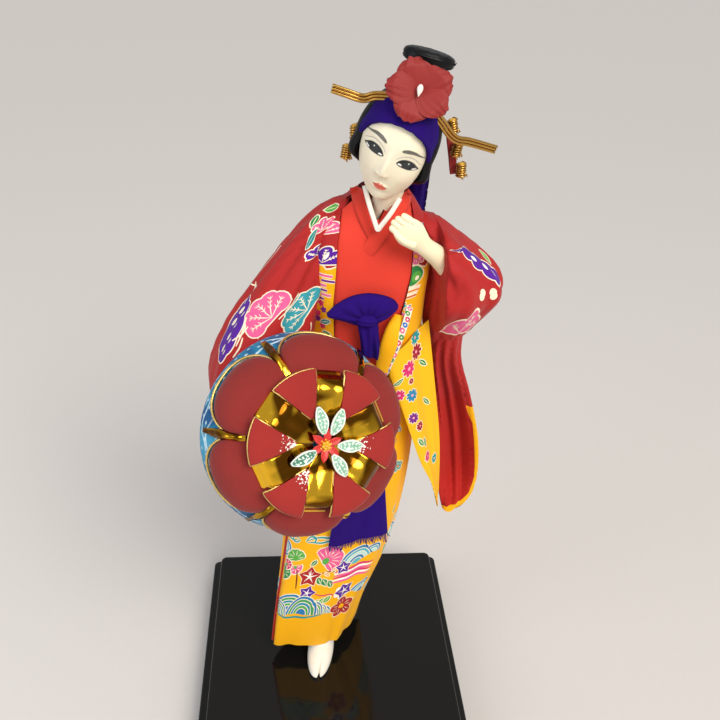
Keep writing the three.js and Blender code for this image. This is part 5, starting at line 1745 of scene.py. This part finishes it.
def skirtGroup(tall):  # the pattern's main run of motifs, from the water up, then round the side
    rows = [
        (scroll("teal", 6, 0.8), -14, 59, 180, 0.9),
        (scroll("teal", 11, 0.8), -5.5, 58.5, 10, 1.1),
        (waveArcs(blues, 4.5, 3, -80, 160), -19.5, 49),
        (fanFlower("leaf", 4.3, 6), -11.5, 45, 20),
        (fanFlower("pink", 3.2, 5), -10.2, 37.5, 200),
        (fanFlower("green", 3.5, 5), -15.5, 31.5, -70),
        (fanFlower("rose", 2.6, 5), -15.2, 38, -60),
        (fanFlower("pink", 7.2, 9), 4.6, 45.0, -48),
        (leaf("green", 4.2, 2.2), -2.6, 39.5, 60),
        (brushed("brown", [(-1.5, 6), (0, 0), (1.2, -5)], 10, 0.8, 0.4), -7.6, 28),
        (starFlower("red", 5.9), -1.6, 31, 4),
    ]
    rows += [([(stroke([(0, 0.6), (k * 1.3, 1.6), (k * 2.4, 2.8)], 0.4), "white")], -1.6, 31)
             for k in (-0.5, 0, 0.5)]
    rows += [(starFlower("purple", 4.4), 0.2, 18.0, -6), (sprig("orange", "brown", 4, 10), 4, 34.5, 4)]
    for k in range(3):
        rows += [(leaf("green", 4.8, 2.7), 5.4 + k * 3.0, 25.6 - k * 1.2, 125),
                 (leaf("leaf", 4.6, 2.7), 7.8 + k * 2.6, 13.0 + k * 1.4, -120)]
    rows.append((brushed("rose", [(0, 0), (4, -1.2), (8, -0.6), (11, -1.8)], 12, 0.7, 0.5), 4.2, 18.0))
    out = laidOut(rows, 0, 0, tall) + placed(waterHills(tall * 1.35), 0.5, 0)
    rows = [(waveArcs(blues, 8.4, 5, 10, 150), 20, 40.5, 20, 1, 1.15),
            (waveArcs(blues, 4.6, 3, 10, 150), 27.5, 47, -20)]
    for k in range(6):
        line = array([(0, 0.5), (6, 1.8), (13, 3.6), (20, 3.0)]) + (0, k * 1.25)
        rows.append((brushed(("pink", "white", "rose")[k % 3], line, 14, 1.5), 10.5, 25.5))
    rows += [
        ([(lobed(4.6, 6, 0.3), "white")], 19, 18),
        (starFlower("purple", 3.9), 13.8, 38.6, 15),
        (starFlower("purple", 4.8), 19.5, 18.6, 30),
        (waveArcs(blues, 6.4, 4), 30, 13, -20, 1, 1.15),
        (blossom("red", 6.2), 22.4, 3.6),
    ]
    return out + laidOut(rows, 0, 0, tall)


def scatter(spots, tall=1.0):  # small blossoms and leaves between the larger motifs
    kinds = [
        blossom("rose", 3.0), blossom("teal", 2.8, "orange"), starFlower("purple", 2.6),
        blossom("darkRed", 3.2, "palePink"), leaf("green", 5.0, 1.9), sprig("leaf", "brown", 4, 9),
        blossom("pink", 3.0), waveArcs(blues, 3.6, 3),
    ]
    out = []
    for k, (x, y) in enumerate(spots):
        kind = k % len(kinds)
        out += placed(kinds[kind], x, y, (k * 67) % 360 if kind != 7 else 0, 1, tall)
    return out


def pines(*rows):  # pine clouds, each a dye, a number of lobes, a size, a place, a turn and a stretch
    return laidOut([(pineClump(dye, lobes, size), x, y, turn, 1, *tall) for dye, lobes, size, x, y, turn,
                    *tall in rows])


def leaves(*rows):  # each a dye, a length, a width, a place and a turn
    return laidOut([(leaf(dye, long, wide), x, y, turn) for dye, long, wide, x, y, turn in rows])


group = skirtGroup(1.4)
skirtPrint = laidOut([(group, -6.5, 28), (group, 51, 33), (group, 98, 26)])
skirtPrint += scatter([(12, 112), (22, 131), (2, 128), (-14, 118), (28, 104), (36, 118), (-6, 146), (16, 152),
                       (31, 146), (44, 134), (56, 116), (60, 146), (74, 128), (88, 112), (86, 148),
                       (102, 132),
                       (116, 116), (114, 148), (128, 130), (44, 158), (128, 158), (100, 158), (72, 158)],
                      1.15)
wrap = printedPiece("printed_skirt", skirtCloth, skirtPrint, "yellow", "backRed", "yellow_cotton",
                    printedCotton, 2.2, 0.6, "skirt")
# the red lining rolled out along the wrap's free edge
line = skirtSurface(full(90, 0.0015), linspace(0.0, 1, 90))
edgeOut = outward(skirtSurface, full(90, 0.004), linspace(0.01, 0.99, 90))
points, faces = tube(line + edgeOut * 0.1, 0.75, 8, lead=(0, 0, 1))
skirtEdge = makePiece("skirt_edge", points, faces, redLining, "yellow_cotton", None,
                      stack([points[:, 0] * 3, points[:, 2]], -1))
print("skirt ready")

# Right sleeve: red cotton with large pine clouds

rightPrint = pines(("pink", 5, 10.2, -4.6, 103.2, 68), ("paleTeal", 5, 9.2, 10.2, 105, 78))
rightPrint += placed(dropClump("purple", 29, 11.5, 4), -21.0, 93, -8)
rightPrint += brushed("cream", [(-27, 115), (-24.6, 120), (-23.8, 128)], 12, 0.8, 0.7)
for a, b in (((-26.5, 110), (-18.5, 112)), ((-24, 112), (-20.5, 104)), ((-14.5, 101), (-14.8, 88)),
             ((-12.4, 97), (-17, 90)), ((-13, 92), (-15, 83)), ((3.2, 114), (-1, 103)),
             ((4.5, 113), (0.8, 106)),
             ((14.5, 99), (16.5, 92))):
    middle = ((a[0] + b[0]) / 2 + 0.8, (a[1] + b[1]) / 2)
    rightPrint += brushed("cream", [a, middle, b], 8, 0.75, 0.6)
rightPrint += pines(("purple", 5, 8.5, 32, 116, 60), ("pink", 5, 10, 48, 96, 80),
                    ("paleTeal", 5, 10, -44, 108, 70),
                    ("paleTeal", 5, 8, 60, 118, 95), ("paleTeal", 5, 10, 36, 66, 70),
                    ("pink", 5, 10, -50, 74, 85),
                    ("pink", 5, 10, 2, 66, 75), ("purple", 5, 9, 56, 40, 80), ("paleTeal", 5, 9, -18, 52, 80),
                    ("pink", 5, 9, 22, 34, 70), ("pink", 5, 7, -52, 134, 60), ("paleTeal", 5, 8, -54, 34, 85))
rightPrint += leaves(("leaf", 7.5, 3.4, -8.2, 150.2, 35), ("green", 6, 2.6, -8.6, 142, 95))
rightPrint += pines(("pink", 3, 5.0, -2.2, 143.4, 40))
rightPrint += leaves(("teal", 9, 3.6, -3.6, 133.6, 103))
rightPrint += pines(("purple", 3, 4.6, 2.6, 131.4, 20))
rightPiece = printedPiece("right_sleeve", rightCloth, rightPrint, "red", "backRed", "red_cotton",
                          printedCotton, 2.4, 0.6, "sleeve_right")
print("right sleeve ready")

# Left sleeve: the raised arm, then the deep bag that hangs open from it

armPrint = cloudBand("purple", [(11, 82, 2.2), (10.5, 76.5, 3.0), (11.5, 71, 3.5), (13.5, 65, 4.2),
                                (16.5, 59, 4.6),
                                (19, 54.5, 3.8)])
drop = brushed("white", [(-0.2, -1.8), (0.1, 0), (0.2, 1.9)], 8, 1.7, 0.15)
armPrint += laidOut([(drop, 12, 67.6, 20), (drop, 15, 61.8, 8), (drop, 18, 56.5),
                     (leaf("leaf", 7, 3.0), 23.5, 58.5, 70)])
for x, y, turn in ((6.5, 50, -35), (13, 48.5, 10)):
    armPrint += placed([(lobed(2.2, 2, 0.35), "cream")], x, y, turn, 1, 1.25)
armPrint += pines(("pink", 3, 8.0, 2.6, 24.0, -6, 2.4), ("paleTeal", 4, 8, 42, 52, 80),
                  ("pink", 4, 8, -46, 46, 70),
                  ("purple", 4, 7, 34, 26, 60))
arm = printedPiece("left_sleeve_arm", armCloth, armPrint, "red", "backRed", "red_cotton", printedCotton, 2.2,
                   0.6, "sleeve_left")

# the print is red above and yellow below, and the lining shows where the bag turns inside out
liningEdge = [(-3.1, 3.2), (4.0, 6.4), (9.4, 13.6), (12.0, 22), (12.8, 29), (13.2, 42), (13.4, 56),
              (10.6, 64.5),
              (9.0, 70), (-30, 70), (-28, 40), (-24, 16), (-14, 4)]
bagPrint = scatter([(26, 100), (31, 80), (24, 60), (33, 44), (27, 24), (-28, 96), (-33, 74), (-26, 52),
                    (-31, 30)])
bagPrint += [([(-60, 66), (60, 66), (60, 130), (-60, 130)], "red"), (liningEdge, "#B52019")]
bag = printedPiece("left_sleeve_bag", bagCloth, bagPrint, "yellow", "backRed", "red_cotton", printedCotton,
                   1.8, 0.3)
print("left sleeve ready")

# Front panel of yellow cotton that hangs open at the side, with a run of small chrysanthemums

panelPrint = []
for x, y, dye, r in ((6.0, 91.5, "teal", 3.2), (5.0, 85.0, "darkRed", 3.6), (-2.2, 81.5, "rose", 3.8),
                     (-2.6, 75.0, "darkRed", 1.5), (-4.0, 67.8, "#2E86B0", 3.2), (-10.2, 71.5, "rose", 3.0),
                     (-6.6, 56.0, "plum", 2.8), (-4.4, 50.0, "darkRed", 2.4), (1.0, 24, "teal", 2.4),
                     (-5, 32, "rose", 2.6)):
    panelPrint += placed(chrysanthemum(dye, r), x, y, x * 9)
for x, y, turn in ((6.0, 79.8, -55), (3.6, 60.4, -65), (-11.5, 78.0, 10), (-7.5, 44.5, -70),
                   (-4.0, 42.5, -90)):
    panelPrint += leaves(("green", 5.4, 2.0, x, y, turn))
panel = printedPiece("front_panel", panelCloth, panelPrint, "panelYellow", "panelYellow", "yellow_cotton",
                     printedCotton, 1.8, 0.45, "side_panel")
print("front panel ready")

# Outer robe: red over the shoulders and yellow below, open in front in two patterned strips

yellowLow = [(-80, -2), (80, -2), (80, 62)]
yellowLow += [(x, 66 + 2.2 * abs(math.sin(x * 0.42))) for x in linspace(78, -78, 90)] + [(-80, 62)]
robePrint = [([(x, y + (0.7 if y > 60 else 0)) for x, y in yellowLow], "cream"), (yellowLow, "yellow")]
robePrint += leaves(("leaf", 12, 4.6, 24.5, 85.5, 38)) + pines(("pink", 4, 6.0, 40.5, 81.0, 30))
robePrint += leaves(("teal", 12, 3.6, 41.2, 66.5, 96)) + pines(("purple", 3, 6.4, 49.0, 69.5, 10))
robePrint += placed(brushed("white", [(0, -1.6), (0.2, 0), (0.1, 1.8)], 8, 1.6, 0.2), 49.4, 72.2)
for k in range(7):
    bar = mist("plum" if k % 2 else "pink", 5.5 - 0.4 * k, 1.0)
    robePrint += placed(bar, 52 + 1.8 * math.sin(k * 2), 64 - k * 2.2)
for k in range(5):
    robePrint += placed([(lobed(1.6, 5, 0.4), ("rose", "plum")[k % 2])], 52 + 1.8 * math.sin(k * 1.9),
                        50.5 - k * 2.6)
robePrint += leaves(("teal", 5, 2.2, 52.5, 41.5, 20), ("green", 5, 2.2, 54, 37.5, -20))
robePrint += placed(blossom("pink", 3.8), -55.6, 72.2) + placed(blossom("#8093B8", 4.4, "cream", 7), -39.5,
                                                                81.5)
robePrint += placed([(circle(0, 0, 4.9), "cream"), (circle(0, 0, 4.3), "green"),
                     (circle(1.2, -0.6, 2.4), "leaf"),
                     (circle(1.6, -1.2, 1.0), "cream")], -57.2, 64)
for k, dye in enumerate(("cream", "orange", "cream", "#D9662A")):
    robePrint += placed(mist(dye, 9, 0.9), -57, 58.6 - k * 1.3)
for x, y, dye in ((-57.5, 51, "teal"), (-54.5, 49.5, "blue"), (-57, 46.5, "pink"), (-54.5, 44, "rose"),
                  (-57.5, 41.5, "teal"), (-55, 38.5, "pink"), (-57, 34.5, "blue")):
    robePrint += placed([(lobed(1.9, 5, 0.4), "cream"), (lobed(1.5, 5, 0.4), dye)], x, y, y * 9)
robePrint += pines(("pink", 5, 9, 0, 84, 20), ("purple", 5, 7, -22, 76, 10), ("paleTeal", 5, 8, 18, 74, 0))
robePrint += scatter([(-30, 54), (-16, 40), (0, 52), (14, 36), (28, 52), (38, 30), (-40, 30), (-26, 18),
                      (-4, 20),
                      (12, 12), (30, 12), (46, 16), (-46, 12), (58, 20), (-58, 20)], 1.1)
robe = printedPiece("outer_robe_back", robeCloth, robePrint, "red", "backRed", "red_cotton", printedCotton,
                    2.2, 1.1, "outer_robe")
print("outer robe ready")

# Inner robe: plain red crepe, crossed at the chest, its collar bands standing up a little


def chestSurface(s, t):
    z = 195.5 + t * 96
    row = torsoTable(torsoT(z))
    left = maximum(interp(z, *leftEdge.T) - 2.5, row["x"] - 0.9 * row["a"])
    right = minimum(interp(z, *rightEdge.T) + 2.5, row["x"] + 0.95 * row["a"])
    x = left + (right - left) * s
    dip = 0.5 * sin((x - 0.22 * z) * 0.55) * bump(s, 0.55, 0.5)
    notch = maximum(0, z - (280.8 + np.abs(x - 11.8) * 1.75))   # the V below the chin
    return onChest(x, z - notch, -1.0 + dip * 0.35)


chest = Cloth(chestSurface, 0.5, 90)
inner = printedPiece("inner_robe_front", chest, [], "crepeRed", None, "plain_red_crepe", plainRedCrepe, 2.0,
                     0.6, "inner_robe")


def chestBand(name, path, width, lift, sink):
    # a strip that follows a line of (x, z) over the chest; its lower end sinks under the other one
    line = curve(path, 60)
    ahead = gradient(line, axis=0)

    def surface(s, t):
        x, z, ax, az = [interp(t * 59, arange(60), column) for column in (*line.T, *ahead.T)]
        long = hypot(ax, az)
        off = (s - 0.5) * width
        crown = 0.5 * (1 - ((s - 0.5) * 2) ** 4)
        return onChest(x + az / long * off, z - ax / long * off, lift + crown - sink * t ** 4)

    return slabPiece(name, surface, (9, 70), 0.9, (width, 60), plainRedCrepe, "plain_red_crepe")


leftBand = chestBand("left_collar_band", [(4.4, 291.0), (5.2, 288.0), (7.4, 283.0), (9.8, 278.6),
                                          (12.4, 274.6)],
                     6.0, -0.1, 1.2)
rightBand = chestBand("right_collar_band", [(23.2, 290.6), (21.4, 288.0), (17.8, 283.8), (14.2, 279.2),
                                            (10.8, 274.2), (7.4, 268.8)], 6.2, 0.5, 2.3)
print("inner robe ready")

# Sash: a bow of purple crepe, a loop over a stem that goes behind the hat, and its long end below

sashSettings = {
    "knot": (8.6, 243.5), "front": -25.4, "back": -21.5, "tucks": 11,
    "threads": 40,         # the loose ones of its frayed end
}
k0 = sashSettings
loopTop = [(-7.4, 246.0), (-3.5, 250.2), (2.0, 253.6), (8.0, 255.0), (14.0, 254.4), (19.0, 252.4),
           (21.2, 249.6)]
loopLow = [(-7.2, 244.6), (-3.0, 243.4), (2.5, 241.4), (8.0, 239.8), (12.5, 241.0), (16.5, 243.9),
           (20.9, 248.0)]
loopLines = [curve(line, 40) for line in (loopTop, loopLow)]


def bowLoop(s, t):  # s along the loop, t from its lower edge to its upper one
    (x1, z1), (x0, z0) = [[interp(s * 39, arange(40), column) for column in line.T] for line in loopLines]
    x, z = x0 + (x1 - x0) * t, z0 + (z1 - z0) * t
    right, up = x - k0["knot"][0], z - k0["knot"][1]
    away = hypot(right, up)
    puff = sqrt(maximum(0, 1 - (2 * t - 1) ** 2)) * sqrt(maximum(0, 1 - (2 * s - 1) ** 4))
    pinch = 1 - 0.42 * np.exp(-(away / 4.2) ** 2)
    tucks = 0.34 * sin(arctan2(up, right) * k0["tucks"]) * smoothStep(1, 5, away) * puff
    return stack([x, k0["back"] + (k0["front"] - k0["back"]) * puff * pinch - tucks, z], -1)


def bowStem(s, t):  # t runs up
    x = 11.6 - 2.6 * t + (s - 0.5) * (9.0 - 0.9 * sin(math.pi * t))
    fold = 0.5 * sin(s * 8.2 + 2.2 * t) + 0.28 * sin(s * 19 - 3 * t)
    side = 1.6 * (2 * s - 1) ** 4
    return stack([x, -23.2 - 1.6 * sin(math.pi * t) - fold + side,
                  225.6 + 17.5 * t - 3.0 * (s - 0.5) * (1 - t)], -1)


def sashEnd(s, t):
    down = 1 - t
    left, right = 6 - 10 * down, 16 + 9 * down
    fold = 0.8 * sin(s * 9) + 0.22 * sin(s * 25 + down * 4)
    return stack([left + (right - left) * s, -22.9 + 1.6 * down - fold + 4 * s * s,
                  208 - (91 - 5 * s) * down], -1)


middle = array((k0["knot"][0], -24.0, k0["knot"][1] + 0.4))
points, faces = ball(middle, (4.4, 2.1, 2.6), 36, 22)
wound = points - middle
points = points + unit(wound) * (0.26 * sin(wound[:, 2] * 3.4 + wound[:, 0] * 0.4))[:, None]
points, faces = together(slab(bowLoop, 90, 40, 0.9), slab(bowStem, 34, 40, 0.8), (points, faces))
bow = makePiece("sash_bow_folds", points, faces, purpleCrepe, "purple_crepe", "sash_bow", points[:, [0, 2]])

endCloth = Cloth(sashEnd, 0.5, 70)
end = printedPiece("sash_end_cloth", endCloth, [], "crepePurple", None, "purple_crepe", purpleCrepe, 2.2, 0.8,
                   "sash_tail")
threads = []
steps = linspace(0, 1, 6)
for s in (arange(k0["threads"]) + 0.5) / k0["threads"]:
    root = sashEnd(array([s]), array([0.0]))[0]
    long = 1.6 + 2.4 * rng.random() * (1 if s < 0.6 else 1.8)
    lean = rng.normal(0, 0.5) + (0.9 if s > 0.6 else 0.2)
    line = root + stack([lean * steps * steps, -0.3 * steps, -long * steps], -1)
    threads.append(tube(line, linspace(0.3, 0.16, 6), 6))
points, faces = together(*threads)
fringe = makePiece("sash_fringe", points, faces, purpleCrepe, "purple_crepe", None, points[:, [0, 2]])

# Folded front edge of the outer robe: a yellow roll with a narrow flowered border

borderSettings = {"wide": 2.6, "long": 30, "thick": 0.5, "flowers": 13,
                  "dyes": ("pink", "blue", "rose", "green")}
points, faces = limb([(22.2, -19.5, 244.0, 2.0, 1.2), (20.9, -21.8, 239.8, 3.7, 2.2),
                      (19.0, -23.0, 233.0, 4.1, 2.5),
                      (17.6, -22.8, 226.5, 3.8, 2.2), (16.4, -22.0, 219.0, 3.0, 1.6)], 40, 60)
makePiece("folded_edge", points, faces, printedCotton, "yellow_cotton", None, points[:, [0, 2]],
          dyed(len(points), ink["yellow"]))
edgeLine = curve([(26.0, 248.5), (24.3, 242.5), (21.9, 234.0), (19.4, 225.0), (17.4, 217.0)], 60)


def borderSurface(s, t):
    x, z = [interp((1 - t) * 59, arange(60), column) for column in edgeLine.T]
    y = -24.6 + 5.0 * (2 * t - 0.9) ** 2 * 0.7 - 0.4 * (1 - (2 * s - 1) ** 2)
    return stack([x + (s - 0.5) * borderSettings["wide"], y, z - (s - 0.5) * 1.4], -1)


s, t = spotsOf(15, 150)
shades = dyed(len(s), ink["cream"])
for k in range(borderSettings["flowers"]):
    place = (k + 0.5) / borderSettings["flowers"]
    near = hypot((s - 0.5 - 0.12 * math.sin(k * 2.1)) * borderSettings["wide"],
                 (t - place) * borderSettings["long"])
    shades = paintOver(shades, near < 1.0, ink[borderSettings["dyes"][k % 4]])
    shades = paintOver(shades, near < 0.35, ink["cream"])
shades = paintOver(shades, np.abs(s - 0.5) > 0.44, ink["teal"])
slabPiece("flowered_border", borderSurface, (15, 150), borderSettings["thick"],
          (borderSettings["wide"], borderSettings["long"]), printedCotton, "yellow_cotton", None, shades)
print("sash ready")


# Cloth pieces: the flat area each was cut to is worked out, and nothing more is done with it


def cutCloth(piece, cloth):
    wide = cloth.high - cloth.low
    area = float(np.sum((wide[1:] + wide[:-1]) / 2 * diff(cloth.v)))


cutCloth(wrap, skirtCloth)
cutCloth(rightPiece, rightCloth)
cutCloth(arm, armCloth)
cutCloth(bag, bagCloth)
cutCloth(panel, panelCloth)
cutCloth(robe, robeCloth)
cutCloth(inner, chest)
cutCloth(end, endCloth)
cutCloth(tail, tailCloth)
